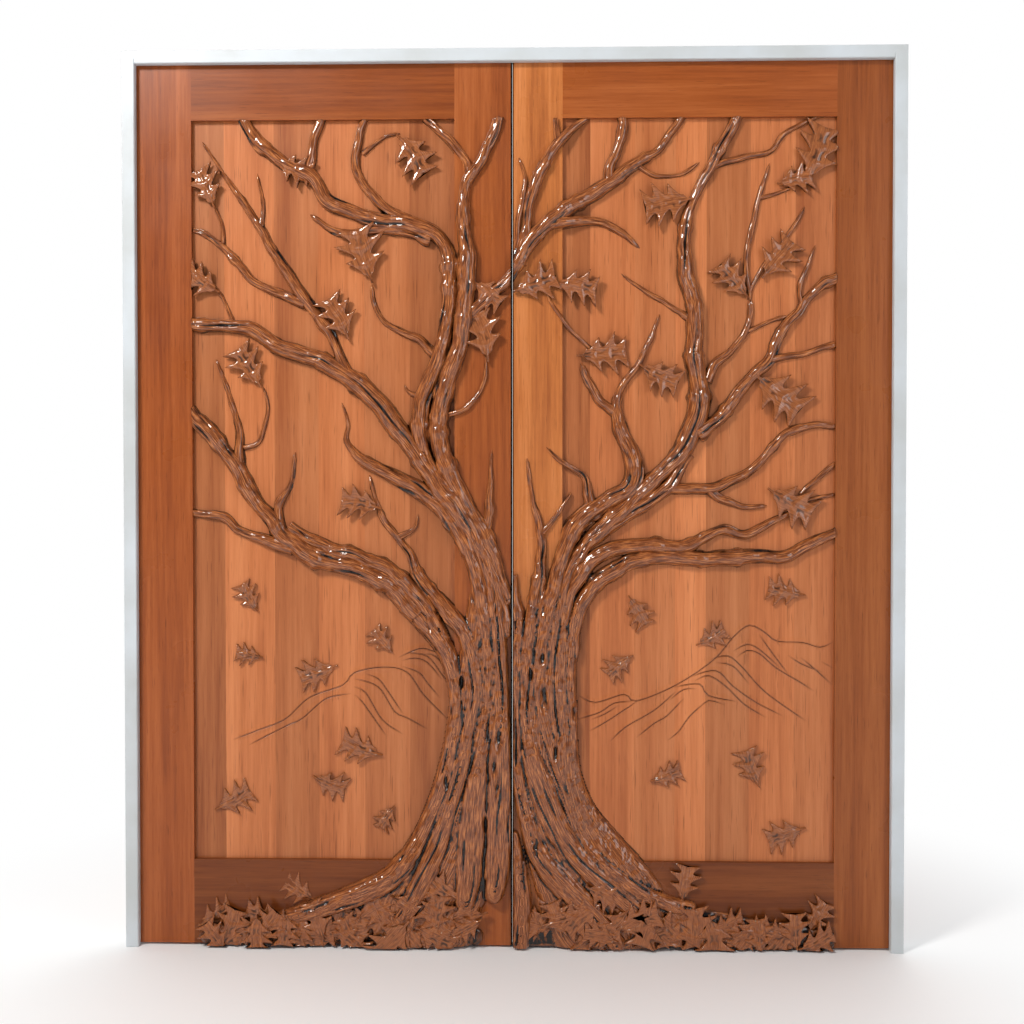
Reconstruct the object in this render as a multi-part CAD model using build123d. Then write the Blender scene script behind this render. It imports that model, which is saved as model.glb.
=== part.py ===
from build123d import *
import math
import os

# Pair of panelled wooden doors with a tree carved in relief across both leaves, hung in a slim frame.
# X runs to the right as seen from the carved side, the carved side faces -Y and Z is up.
# The origin is on the floor, on the line between the two leaves, at half the depth of the frame.
# All sizes are in millimetres.

# the two leaves
LEAF_WIDTH = 914.0
LEAF_HEIGHT = 2134.0
LEAF_THICKNESS = 45.0
HINGE_STILE = 140.0
LEFT_MEETING_STILE = 138.0
RIGHT_MEETING_STILE = 120.0
TOP_RAIL = 140.0
BOTTOM_RAIL = 205.0
TENON_THICKNESS = 15.0
TENON_LENGTH = 60.0
TENON_END_SPACE = 1.0
FRONT_ARRIS = 2.4
FRONT_ARRIS_DEPTH = 8.0

# the panel of glued boards in each leaf
PANEL_THICKNESS = 22.0
PANEL_RECESS = 12.0
TONGUE_THICKNESS = 12.0
TONGUE_LENGTH = 10.0
GROOVE_SPARE_DEPTH = 2.0
LEFT_BOARD_SHARES = (32, 51, 45, 47, 46, 46)
RIGHT_BOARD_SHARES = (40, 45, 44, 31, 41, 45, 28)

# gaps round the leaves
MEETING_GAP = 1.5
HINGE_GAP = 3.0
HEAD_GAP = 3.0
FLOOR_GAP = 5.0

# the frame
JAMB_THICKNESS = 19.0
STOP_LAP = 8.0
STOP_DEPTH = 18.0
STOP_CLEARANCE = 1.5
FRAME_CHAMFER = 2.0

# lift-off hinges
HINGE_HEIGHT = 102.0
HINGE_PLATE = 3.0
HINGE_PLATE_DEPTH = 34.0
KNUCKLE_RADIUS = 6.5
PIN_RADIUS = 3.5
PIN_CLEARANCE = 0.05
KNUCKLE_TO_LEAF = 1.0
KNUCKLE_SPLIT = 0.2
SEAT_CLEARANCE = 0.2
BOTTOM_HINGE_FROM_FOOT = 245.0
TOP_HINGE_FROM_HEAD = 239.0
MIDDLE_HINGE_ABOVE_MIDDLE = 55.0

# bullet catches in the top edge of each leaf
CATCH_FROM_MEETING = 40.0
CATCH_RADIUS = 6.0
CATCH_DEPTH = 34.0
BULLET_RADIUS = 4.0
BULLET_CLEARANCE = 0.06
BULLET_REACH = 1.5
BULLET_SHOULDER = 6.0
BULLET_LIP = 0.6
LIP_THICKNESS = 2.0
SPRING_WIRE = 0.8
SPRING_TURNS = 4
SPRING_STEPS = 6
STRIKE_LENGTH = 56.0
STRIKE_WIDTH = 20.0
STRIKE_THICKNESS = 2.0
STRIKE_HOLE_CLEARANCE = 0.4

# how far a cut runs past the face that it opens, and the flat sides of a small round piece
CUT_PAST = 1.0
ROUND_SIDES = 24

# the carving: the tree was drawn on a field of this size and is stretched with the leaf
DRAWN_WIDTH = 774.0
DRAWN_HEIGHT = 1994.0
THICKEST_RELIEF = 33.5
THINNEST_RELIEF = 6.0
RELIEF_PER_HALF_WIDTH = 1.15
TRUNK_CORE_RELIEF = 14.0
CREST_WIDTH = 0.52
LOWER_CREST = 0.8
TWIG_HALF_WIDTH = 12.0
BRANCH_SPACING = 120.0
TWIG_SPACING = 95.0
BURIED_END = 0.5
RAMP = 60.0
SMALLEST_CHIP = 1000.0
LEAF_EDGE = 5.0
LEAF_RIB = 10.0
LEAF_SPREAD = 0.33
BRANCH_LEAF_LIFT = 8.0

# Worked out from the sizes above.
FRAME_DEPTH = STOP_DEPTH + STOP_CLEARANCE + LEAF_THICKNESS
LEAF_BACK = FRAME_DEPTH / 2
LEAF_FRONT = LEAF_BACK - LEAF_THICKNESS
PANEL_FRONT = LEAF_FRONT + PANEL_RECESS
TONGUE_FRONT = PANEL_FRONT + (PANEL_THICKNESS - TONGUE_THICKNESS) / 2
TENON_FRONT = LEAF_FRONT + (LEAF_THICKNESS - TENON_THICKNESS) / 2
STOP_BACK = LEAF_FRONT - STOP_CLEARANCE
MEETING_X = MEETING_GAP / 2
ARRIS_X = MEETING_X + FRONT_ARRIS
LEAF_EDGE_X = MEETING_X + LEAF_WIDTH
FIELD_X = LEAF_EDGE_X - HINGE_STILE
OPENING_X = LEAF_EDGE_X + HINGE_GAP
STOP_X = LEAF_EDGE_X - STOP_LAP
FRAME_X = OPENING_X + JAMB_THICKNESS
LEAF_TOP = FLOOR_GAP + LEAF_HEIGHT
OPENING_Z = LEAF_TOP + HEAD_GAP
STOP_Z = LEAF_TOP - STOP_LAP
FRAME_TOP = OPENING_Z + JAMB_THICKNESS
FIELD_BOTTOM = FLOOR_GAP + BOTTOM_RAIL
FIELD_TOP = LEAF_TOP - TOP_RAIL
HINGE_X = LEAF_EDGE_X + HINGE_GAP / 2
HINGE_Y = LEAF_BACK + KNUCKLE_RADIUS + KNUCKLE_TO_LEAF
PLATE_FRONT = LEAF_BACK - HINGE_PLATE_DEPTH
BOTTOM_HINGE = FLOOR_GAP + BOTTOM_HINGE_FROM_FOOT
TOP_HINGE = LEAF_TOP - TOP_HINGE_FROM_HEAD
MIDDLE_HINGE = (BOTTOM_HINGE + TOP_HINGE) / 2 + MIDDLE_HINGE_ABOVE_MIDDLE
HINGE_MIDDLES = (BOTTOM_HINGE, MIDDLE_HINGE, TOP_HINGE)
CATCH_X = MEETING_X + CATCH_FROM_MEETING
CATCH_Y = (LEAF_FRONT + LEAF_BACK) / 2
BULLET_TOP = OPENING_Z + BULLET_REACH


def box(x0, x1, y0, y1, z0, z1):
    """A block between two corners."""
    block = Solid.make_box(x1 - x0, y1 - y0, z1 - z0)
    return block.moved(Location((x0, y0, z0)))


def circle(x, y, radius):
    """The corners of a small circle, which has enough flat sides to turn in a bore of its own size."""
    turns = [2 * math.pi * k / ROUND_SIDES for k in range(ROUND_SIDES)]
    return [(x + radius * math.cos(turn), y + radius * math.sin(turn)) for turn in turns]


def upright_round(x, y, z0, z1, radius):
    """A round bar that stands on z0 and ends at z1."""
    return upright_prism(circle(x, y, radius), z0, z1)


def upright_prism(corners, z0, z1):
    """A prism on an outline given as x and y, from z0 to z1."""
    wire = Wire.make_polygon([(x, y, z0) for x, y in corners], close=True)
    return Solid.extrude(Face(wire), Vector(0, 0, z1 - z0))


def triangle(a, b, c):
    """One flat facet of the carving."""
    return Face(Wire.make_polygon([a, b, c], close=True))


def skin(rings):
    """A closed solid from a row of rings with the same number of corners."""
    faces = []
    for ring, after in zip(rings, rings[1:]):
        for k in range(len(ring)):
            n = (k + 1) % len(ring)
            faces.append(triangle(ring[k], ring[n], after[n]))
            faces.append(triangle(ring[k], after[n], after[k]))
    for ring in (rings[0], rings[-1]):
        faces.append(Face(Wire.make_polygon(ring, close=True)))
    return Solid(Shell(faces))


def spline(points, spacing):
    """Stations along a smooth line through hand-chosen points of place and half width."""
    stations = []
    ends = [points[0]] + list(points) + [points[-1]]
    for p, a, b, n in zip(ends, ends[1:], ends[2:], ends[3:]):
        steps = max(1, round(math.dist(a[:2], b[:2]) / spacing))
        for k in range(steps):
            t = k / steps
            stations.append(tuple(
                0.5 * (2 * a[i] + (b[i] - p[i]) * t + (2 * p[i] - 5 * a[i] + 4 * b[i] - n[i]) * t ** 2
                       + (3 * a[i] - p[i] - 3 * b[i] + n[i]) * t ** 3)
                for i in range(3)))
    stations.append(points[-1])
    return stations


def place(across, height, relief):
    """A point of the drawing as a point of the right-hand leaf, relief standing out of the panel."""
    x = MEETING_X + across * (LEAF_WIDTH - HINGE_STILE) / DRAWN_WIDTH
    z = FLOOR_GAP + height * (LEAF_HEIGHT - TOP_RAIL) / DRAWN_HEIGHT
    return (x, PANEL_FRONT - relief, z)


def ground(across, height, meeting_stile):
    """How far the carving is raised here: it climbs from the panel before it crosses a stile or a rail."""
    over_stile = (meeting_stile + RAMP - across) / RAMP
    over_rail = (BOTTOM_RAIL + RAMP - height) / RAMP
    return PANEL_RECESS * min(1.0, max(0.0, over_stile, over_rail))


def branch(points, meeting_stile, most=THICKEST_RELIEF):
    """A strand of the trunk, a root, a limb or a twig: a gnarled ridge along a smooth line."""
    widest = max(w for _, _, w in points)
    is_twig = widest <= TWIG_HALF_WIDTH
    stations = spline(points, TWIG_SPACING if is_twig else BRANCH_SPACING)
    rings = []
    for k, (u, v, w) in enumerate(stations):
        before = stations[max(k - 1, 0)]
        after = stations[min(k + 1, len(stations) - 1)]
        run = math.dist(before[:2], after[:2])
        side = ((before[1] - after[1]) / run, (after[0] - before[0]) / run)
        high = min(most, max(THINNEST_RELIEF, RELIEF_PER_HALF_WIDTH * w))
        lift = ground(u, v, meeting_stile)
        lower = lift + LOWER_CREST * high
        crests = (lift + high, lower) if k % 2 else (lower, lift + high)
        section = [(-1.0, -BURIED_END), (-CREST_WIDTH, crests[0]), (CREST_WIDTH, crests[1]), (1.0, -BURIED_END)]
        if is_twig:
            section = [section[0], (0.0, lift + high), section[3]]
        rings.append([place(u + s * w * side[0], v + s * w * side[1], r) for s, r in section])
    return skin(rings)


def oak_leaf(across, height, length, heading, lift, meeting_stile):
    """A lobed leaf with a raised midrib, solid down to the panel; one with no lift has a thin edge."""
    half = length * LEAF_SPREAD
    lift = lift + ground(across, height, meeting_stile)
    outline = ((0.0, 0.06), (0.22, 0.8), (0.38, 0.42), (0.6, 1.0), (0.74, 0.5), (1.0, 0.12))
    turn = math.radians(heading)
    along = (math.cos(turn), math.sin(turn))

    def at(t, side, relief):
        a = (t - 0.5) * length
        b = side * half
        return place(across + a * along[0] - b * along[1], height + a * along[1] + b * along[0], relief)

    rings = []
    for t, wide in outline:
        rib = LEAF_EDGE + (LEAF_RIB - LEAF_EDGE) * math.sin(math.pi * min(t + 0.15, 1.0))
        edge = lift + LEAF_EDGE
        ring = [at(t, -wide, -BURIED_END), at(t, -wide, edge), at(t, 0, lift + rib), at(t, wide, edge),
                at(t, wide, -BURIED_END)]
        rings.append(ring if lift > 0 else ring[::2])
    return skin(rings)


def left_tree():
    """The half of the tree on the left leaf: distance from the meeting edge, height, half width."""
    return [
        # strands that rise from the roots through the trunk into the limbs
        [(650, 28, 12), (560, 60, 20), (450, 94, 26), (330, 142, 30), (270, 185, 27), (212, 275, 24), (162, 400, 26),
         (137, 530, 22), (135, 620, 20), (160, 715, 24), (228, 800, 25), (300, 872, 24), (385, 912, 24),
         (470, 935, 26), (545, 985, 24), (612, 1068, 22), (658, 1140, 21), (712, 1215, 19), (782, 1298, 17)],
        [(148, 690, 16), (178, 765, 19), (235, 850, 20), (320, 922, 20), (445, 962, 18), (540, 1015, 14)],
        [(285, 30, 22), (232, 128, 30), (180, 240, 30), (135, 380, 26), (105, 520, 22), (90, 650, 22),
         (112, 755, 22), (165, 822, 20), (222, 888, 16), (250, 950, 12), (305, 1022, 9), (330, 1078, 7),
         (345, 1140, 3)],
        [(112, 112, 28), (102, 200, 38), (92, 320, 36), (78, 450, 26), (60, 590, 18), (58, 700, 19), (74, 840, 22),
         (108, 970, 22), (170, 1062, 24), (260, 1125, 19), (345, 1165, 15), (398, 1215, 8), (397, 1265, 6),
         (412, 1315, 3)],
        [(42, 128, 26), (34, 220, 36), (30, 380, 34), (30, 470, 30), (26, 620, 21), (38, 800, 22), (70, 945, 25),
         (135, 1060, 28), (210, 1155, 26), (290, 1272, 25), (375, 1362, 24), (470, 1418, 22), (560, 1450, 20),
         (645, 1494, 17), (782, 1507, 16)],
        [(14, 760, 15), (34, 870, 19), (92, 1000, 22), (165, 1110, 23), (216, 1205, 23), (216, 1310, 23),
         (182, 1405, 22), (156, 1510, 21), (148, 1620, 21), (172, 1705, 21), (235, 1740, 22), (350, 1762, 18),
         (442, 1798, 20), (490, 1862, 18), (560, 1898, 17), (620, 1955, 15), (650, 2002, 14)],
        [(10, 840, 14), (52, 970, 21), (118, 1080, 25), (168, 1195, 25), (172, 1300, 25), (140, 1405, 24),
         (115, 1520, 24), (108, 1640, 24), (116, 1750, 18), (112, 1835, 16), (68, 1905, 14), (42, 1960, 14),
         (32, 2002, 14)],
        # limbs
        [(100, 1845, 14), (112, 1895, 12), (150, 1945, 12), (206, 2002, 11)],
        [(250, 1750, 15), (300, 1778, 14), (345, 1822, 12), (374, 1880, 11), (370, 1945, 10), (352, 2002, 10)],
        [(478, 1840, 14), (488, 1885, 12), (478, 1945, 12), (462, 2002, 14)],
        [(195, 1708, 15), (262, 1727, 14), (335, 1732, 12), (410, 1722, 11), (488, 1768, 6)],
        [(390, 1365, 17), (418, 1440, 14), (462, 1515, 15), (520, 1592, 16), (585, 1692, 12), (640, 1790, 9),
         (692, 1858, 6), (750, 1945, 3)],
        [(500, 1555, 12), (565, 1580, 12), (625, 1608, 11), (675, 1665, 10), (735, 1718, 8), (782, 1735, 7)],
        [(655, 1125, 15), (660, 1185, 13), (664, 1255, 9), (685, 1325, 6), (717, 1420, 3)],
        [(560, 1000, 15), (566, 1060, 12), (540, 1112, 8), (526, 1195, 4)],
        [(530, 962, 18), (602, 984, 15), (662, 1005, 12), (700, 1035, 11), (782, 1048, 11)],
        [(60, 940, 17), (58, 1020, 15), (52, 1090, 10), (47, 1200, 3)],
        [(188, 1432, 14), (225, 1468, 11), (302, 1503, 8), (330, 1550, 7), (338, 1600, 5)],
        [(112, 1512, 17), (60, 1560, 17), (-25, 1640, 17)],
        # twigs
        [(700, 1700, 7), (702, 1745, 6), (722, 1790, 4)],
        [(608, 1742, 8), (602, 1795, 6), (618, 1868, 3)],
        [(650, 1205, 8), (612, 1226, 6), (592, 1300, 5), (604, 1350, 4)],
        [(152, 1285, 9), (105, 1304, 8), (66, 1365, 6), (62, 1430, 4)],
        [(278, 986, 7), (238, 1012, 5), (228, 1046, 3)],
        [(218, 1325, 8), (248, 1338, 5), (262, 1358, 3)],
        [(362, 1915, 8), (305, 1955, 5), (270, 1962, 4)],
        [(672, 1502, 7), (694, 1555, 5), (716, 1592, 4)],
    ]


def left_core():
    """The broad low mass of the trunk on the left leaf, which the strands stand on."""
    return [(215, 84, 140), (155, 190, 112), (108, 310, 92), (84, 450, 74), (76, 620, 66), (92, 780, 74),
            (140, 880, 66), (178, 960, 40)]


def left_litter():
    """The low bank of earth and litter along the foot of the left leaf."""
    return [[(92, 22, 24), (185, 42, 46), (300, 52, 54), (420, 46, 46), (540, 36, 38), (645, 26, 30), (740, 22, 24)]]


def left_leaves():
    """Leaves on the branches and in the litter: place, length, heading and lift off the wood below."""
    on_branches = [(738, 1828, 108, 65), (744, 1608, 104, 35), (530, 1880, 96, 200), (246, 1912, 126, 236),
                   (355, 1664, 144, 73), (634, 1396, 118, 57), (420, 1512, 120, 60), (72, 1468, 132, 75),
                   (362, 1066, 108, 10), (60, 1578, 92, 220)]
    in_litter = [(514, 126, 92, 30), (726, 66, 100, 150), (606, 66, 92, 20), (470, 60, 104, 70), (330, 92, 112, 150),
                 (160, 142, 104, 35), (182, 78, 106, 100), (104, 52, 84, 330), (262, 106, 80, 215)]
    return on_branches, in_litter


def left_falling():
    """Leaves carved loose on the panel of the left leaf, as if falling."""
    return [(636, 841, 84, 60), (637, 702, 72, 10), (468, 662, 104, 340), (312, 735, 78, 50), (362, 477, 112, 20),
            (446, 393, 94, 200), (683, 348, 106, 150), (301, 309, 70, 300)]


def right_tree():
    """The half of the tree on the right leaf: distance from the meeting edge, height, half width."""
    return [
        # strands that rise from the roots through the trunk into the limbs
        [(18, -12, 22), (24, 100, 25), (16, 190, 20), (4, 270, 12)],
        [(252, 12, 26), (200, 78, 32), (128, 148, 38), (70, 215, 30), (38, 300, 24), (14, 420, 19), (6, 560, 18),
         (8, 700, 20), (12, 790, 17), (2, 900, 12)],
        [(335, 58, 24), (262, 122, 30), (185, 188, 30), (120, 270, 36), (82, 360, 40), (48, 460, 28),
         (33, 570, 20), (34, 700, 20), (52, 820, 19), (68, 920, 17), (70, 995, 13), (50, 1075, 8), (35, 1180, 4)],
        [(402, 92, 20), (305, 136, 26), (214, 206, 22), (160, 270, 19), (130, 365, 18), (95, 470, 20),
         (68, 600, 20), (72, 740, 22), (104, 880, 21), (150, 1015, 23), (235, 1080, 23), (288, 1118, 24),
         (286, 1190, 22), (254, 1270, 16), (256, 1340, 11), (300, 1402, 9), (330, 1460, 6), (355, 1528, 3)],
        [(430, 98, 15), (320, 126, 20), (220, 205, 16), (166, 285, 15), (148, 380, 16), (116, 490, 17),
         (104, 620, 18), (112, 780, 18), (142, 920, 19), (235, 1028, 22), (335, 1120, 22), (405, 1198, 24),
         (448, 1300, 27), (438, 1420, 24), (436, 1530, 21), (416, 1640, 20), (412, 1730, 16), (434, 1800, 12),
         (476, 1882, 13), (508, 1935, 14), (538, 2002, 14)],
        [(168, 335, 13), (150, 450, 12), (143, 560, 14), (142, 700, 15), (165, 828, 20), (245, 912, 22),
         (355, 941, 20), (475, 938, 22), (590, 946, 18), (650, 942, 16), (715, 972, 15), (782, 1003, 14)],
        [(122, 760, 14), (140, 860, 18), (205, 945, 22), (300, 968, 21), (405, 967, 18), (465, 992, 14),
         (508, 1008, 12), (560, 1000, 12), (620, 1022, 11), (672, 1050, 7)],
        [(150, 940, 16), (200, 990, 19), (290, 1058, 20), (370, 1105, 18), (425, 1190, 14)],
        # limbs
        [(285, 1055, 14), (350, 1098, 15), (430, 1108, 14), (490, 1112, 13), (560, 1145, 12), (605, 1180, 11),
         (655, 1238, 10), (715, 1258, 9), (782, 1255, 8)],
        [(468, 1108, 12), (500, 1084, 10), (550, 1065, 8), (612, 1064, 6)],
        [(442, 1240, 20), (500, 1278, 18), (552, 1350, 16), (610, 1408, 15), (642, 1475, 14), (695, 1545, 13),
         (740, 1592, 13), (782, 1612, 13)],
        [(620, 1416, 10), (665, 1428, 9), (705, 1434, 8), (782, 1455, 8)],
        [(464, 1365, 14), (486, 1405, 12), (528, 1440, 10), (566, 1500, 8), (570, 1565, 5)],
        [(-18, 1596, 18), (28, 1680, 19), (98, 1752, 18), (210, 1828, 17), (300, 1890, 14), (352, 1925, 11),
         (406, 2002, 11)],
        [(14, 1645, 16), (34, 1745, 14), (56, 1840, 16), (96, 1916, 13), (145, 1972, 10), (186, 2002, 9)],
        [(86, 1740, 14), (150, 1750, 14), (228, 1742, 11), (306, 1684, 5)],
        [(230, 1846, 15), (236, 1892, 13), (262, 1950, 12), (262, 2002, 13)],
        [(248, 1285, 13), (205, 1325, 12), (178, 1378, 11), (166, 1410, 8)],
        [(190, 1038, 16), (180, 1092, 14), (168, 1140, 9), (112, 1176, 6), (80, 1212, 3)],
        # twigs
        [(5, 1640, 9), (14, 1730, 9), (28, 1815, 8), (30, 1855, 6), (16, 1900, 4)],
        [(72, 1000, 9), (104, 1040, 8), (142, 1096, 3)],
        [(470, 1874, 9), (545, 1900, 8), (620, 1915, 7), (655, 1960, 7), (745, 2002, 5)],
        [(296, 1886, 8), (340, 1860, 6), (400, 1860, 5), (448, 1890, 3)],
        [(106, 1940, 8), (106, 2002, 8)],
        [(436, 1508, 9), (395, 1537, 8), (320, 1580, 6), (262, 1625, 3)],
        [(188, 1446, 6), (135, 1492, 6), (98, 1548, 5), (74, 1600, 4)],
        [(565, 1485, 6), (615, 1508, 5), (662, 1520, 5)],
        [(690, 1548, 8), (694, 1605, 6), (725, 1690, 3)],
        [(569, 1560, 6), (560, 1645, 7), (574, 1730, 7), (590, 1800, 6), (616, 1886, 3)],
        [(590, 1802, 6), (632, 1812, 5), (668, 1830, 4)],
        [(566, 1575, 5), (604, 1640, 6), (672, 1732, 5), (700, 1782, 3)],
        [(692, 1092, 6), (735, 1135, 6), (782, 1172, 6)],
        [(700, 1078, 5), (782, 1094, 5)],
    ]


def right_core():
    """The broad low mass of the trunk on the right leaf, which the strands stand on."""
    return [(225, 84, 150), (165, 190, 122), (112, 300, 96), (84, 430, 78), (74, 600, 66), (88, 760, 76),
            (150, 890, 70), (240, 1000, 44)]


def right_litter():
    """The low bank of earth and litter along the foot of the right leaf."""
    return [[(-12, 26, 30), (90, 40, 46), (200, 50, 54), (330, 54, 52), (460, 50, 44), (580, 34, 36), (690, 26, 30),
             (768, 20, 20)]]


def right_leaves():
    """Leaves on the branches and in the litter: place, length, heading and lift off the wood below."""
    on_branches = [(50, 1596, 120, 20), (148, 1590, 112, 350), (378, 1790, 128, 190), (722, 1902, 150, 70),
                   (672, 1842, 92, 10), (532, 1602, 112, 130), (632, 1652, 122, 50), (212, 1432, 128, 5),
                   (350, 1384, 112, 335), (632, 1338, 150, 320), (664, 1078, 132, 330)]
    in_litter = [(82, 72, 110, 60), (212, 132, 92, 330), (300, 68, 116, 20), (416, 152, 96, 80), (398, 72, 96, 300),
                 (512, 56, 96, 20), (620, 44, 92, 160), (732, 74, 92, 60), (216, 52, 78, 280)]
    return on_branches, in_litter


def right_falling():
    """Leaves carved loose on the panel of the right leaf, as if falling."""
    return [(300, 814, 88, 300), (661, 859, 96, 170), (476, 748, 84, 30), (262, 680, 84, 220), (368, 412, 84, 20),
            (580, 430, 100, 110), (664, 272, 104, 200)]


def leaf_timber(meeting_stile):
    """Two stiles and two rails with grooves for the panel, tenons, mortises and hinge seats."""
    stile_x = MEETING_X + meeting_stile
    groove_back = TONGUE_FRONT + TONGUE_THICKNESS
    groove_depth = TONGUE_LENGTH + GROOVE_SPARE_DEPTH
    groove = box(stile_x - groove_depth, FIELD_X + groove_depth, TONGUE_FRONT, groove_back,
                 FIELD_BOTTOM - groove_depth, FIELD_TOP + groove_depth)
    tenon_back = TENON_FRONT + TENON_THICKNESS
    tenon_x = (stile_x - TENON_LENGTH, FIELD_X + TENON_LENGTH)
    mortise_x = (tenon_x[0] - TENON_END_SPACE, tenon_x[1] + TENON_END_SPACE)
    top_tenon = (FIELD_TOP + groove_depth, LEAF_TOP - TENON_LENGTH / 2)
    bottom_tenon = (FLOOR_GAP + TENON_LENGTH / 2, FIELD_BOTTOM - groove_depth)

    meeting = upright_prism([(MEETING_X, LEAF_BACK), (stile_x, LEAF_BACK), (stile_x, LEAF_FRONT),
                             (ARRIS_X, LEAF_FRONT), (MEETING_X, LEAF_FRONT + FRONT_ARRIS_DEPTH)],
                            FLOOR_GAP, LEAF_TOP)
    hinge = box(FIELD_X, LEAF_EDGE_X, LEAF_FRONT, LEAF_BACK, FLOOR_GAP, LEAF_TOP)
    for z0, z1 in (top_tenon, bottom_tenon):
        mortises = box(mortise_x[0], mortise_x[1], TENON_FRONT, tenon_back, z0, z1)
        meeting = meeting - mortises
        hinge = hinge - mortises
    meeting = meeting - groove - catch_seat()
    hinge = hinge - groove
    for z in HINGE_MIDDLES:
        hinge = hinge - hinge_seat(LEAF_EDGE_X - HINGE_PLATE, LEAF_EDGE_X, z)

    rails = []
    for z0, z1, tenon in ((FIELD_TOP, LEAF_TOP, top_tenon), (FLOOR_GAP, FIELD_BOTTOM, bottom_tenon)):
        body = box(stile_x, FIELD_X, LEAF_FRONT, LEAF_BACK, z0, z1) - groove
        tenons = box(tenon_x[0], tenon_x[1], TENON_FRONT, tenon_back, tenon[0], tenon[1])
        rails.append(body + tenons)
    return {"meeting_stile": meeting, "hinge_stile": hinge, "top_rail": rails[0], "bottom_rail": rails[1]}


def panel_boards(meeting_stile, shares):
    """The glued boards of the panel, each with tongues where it meets the rails or a stile."""
    stile_x = MEETING_X + meeting_stile
    scale = (FIELD_X - stile_x) / sum(shares)
    boards = []
    x = FIELD_X
    for k, share in enumerate(shares):
        inner = x - share * scale
        body = box(inner, x, PANEL_FRONT, PANEL_FRONT + PANEL_THICKNESS, FIELD_BOTTOM, FIELD_TOP)
        tongue_x0 = inner - TONGUE_LENGTH if k == len(shares) - 1 else inner
        tongue_x1 = x + TONGUE_LENGTH if k == 0 else x
        tongue = box(tongue_x0, tongue_x1, TONGUE_FRONT, TONGUE_FRONT + TONGUE_THICKNESS,
                     FIELD_BOTTOM - TONGUE_LENGTH, FIELD_TOP + TONGUE_LENGTH)
        boards.append(body + tongue)
        x = inner
    return boards


def carving(tree, core, litter, leaves, falling, meeting_stile):
    """The fused tree of one leaf, and its loose leaves, both seated on the wood under them."""
    on_branches, in_litter = leaves
    pieces = [branch(core, meeting_stile, TRUNK_CORE_RELIEF)]
    pieces += [branch(points, meeting_stile) for points in tree + litter]
    pieces += [oak_leaf(*spot, BRANCH_LEAF_LIFT, meeting_stile) for spot in on_branches + in_litter]
    outermost = PANEL_FRONT - 2 * THICKEST_RELIEF
    field = box(ARRIS_X, FIELD_X, outermost, PANEL_FRONT, FLOOR_GAP, FIELD_TOP)
    timber = box(0, MEETING_X + meeting_stile, LEAF_FRONT, LEAF_BACK, FLOOR_GAP, LEAF_TOP)
    timber = timber + box(0, LEAF_EDGE_X, LEAF_FRONT, LEAF_BACK, FLOOR_GAP, FIELD_BOTTOM)
    tree_body = (pieces[0].fuse(*pieces[1:]) & field) - timber
    tree_body = Compound([chunk for chunk in tree_body.solids() if chunk.volume > SMALLEST_CHIP])
    loose = []
    for spot in falling:
        loose += (oak_leaf(*spot, 0.0, meeting_stile) & field).solids()
    return tree_body, Compound(loose)


def hinge_seat(x0, x1, z):
    """The recess that a hinge plate lies in."""
    high = HINGE_HEIGHT / 2 + SEAT_CLEARANCE
    return box(x0, x1, PLATE_FRONT - SEAT_CLEARANCE, LEAF_BACK, z - high, z + high)


def hinge(z):
    """A lift-off hinge: the frame's plate with the lower knuckle, its pin, and the leaf's plate."""
    plates = []
    spans = ((LEAF_EDGE_X - HINGE_PLATE, LEAF_EDGE_X, z + KNUCKLE_SPLIT / 2, z + HINGE_HEIGHT / 2,
              PIN_RADIUS + PIN_CLEARANCE),
             (OPENING_X, OPENING_X + HINGE_PLATE, z - HINGE_HEIGHT / 2, z - KNUCKLE_SPLIT / 2, PIN_RADIUS))
    for x0, x1, knuckle_z0, knuckle_z1, bore in spans:
        flat = box(x0, x1, PLATE_FRONT, LEAF_BACK, z - HINGE_HEIGHT / 2, z + HINGE_HEIGHT / 2)
        neck = box(x0, x1, LEAF_BACK, HINGE_Y, knuckle_z0, knuckle_z1)
        knuckle = upright_round(HINGE_X, HINGE_Y, knuckle_z0, knuckle_z1, KNUCKLE_RADIUS)
        hole = upright_round(HINGE_X, HINGE_Y, knuckle_z0 - CUT_PAST, knuckle_z1 + CUT_PAST, bore)
        plates.append(flat + neck + knuckle - hole)
    pin = upright_round(HINGE_X, HINGE_Y, z - HINGE_HEIGHT / 2, z + HINGE_HEIGHT / 2, PIN_RADIUS)
    return {"leaf_plate": plates[0], "frame_plate": plates[1], "pin": pin}


def catch_seat():
    """The hole drilled down into the top of the meeting stile for the bullet catch."""
    return upright_round(CATCH_X, CATCH_Y, LEAF_TOP - CATCH_DEPTH, LEAF_TOP + CUT_PAST, CATCH_RADIUS)


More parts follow.
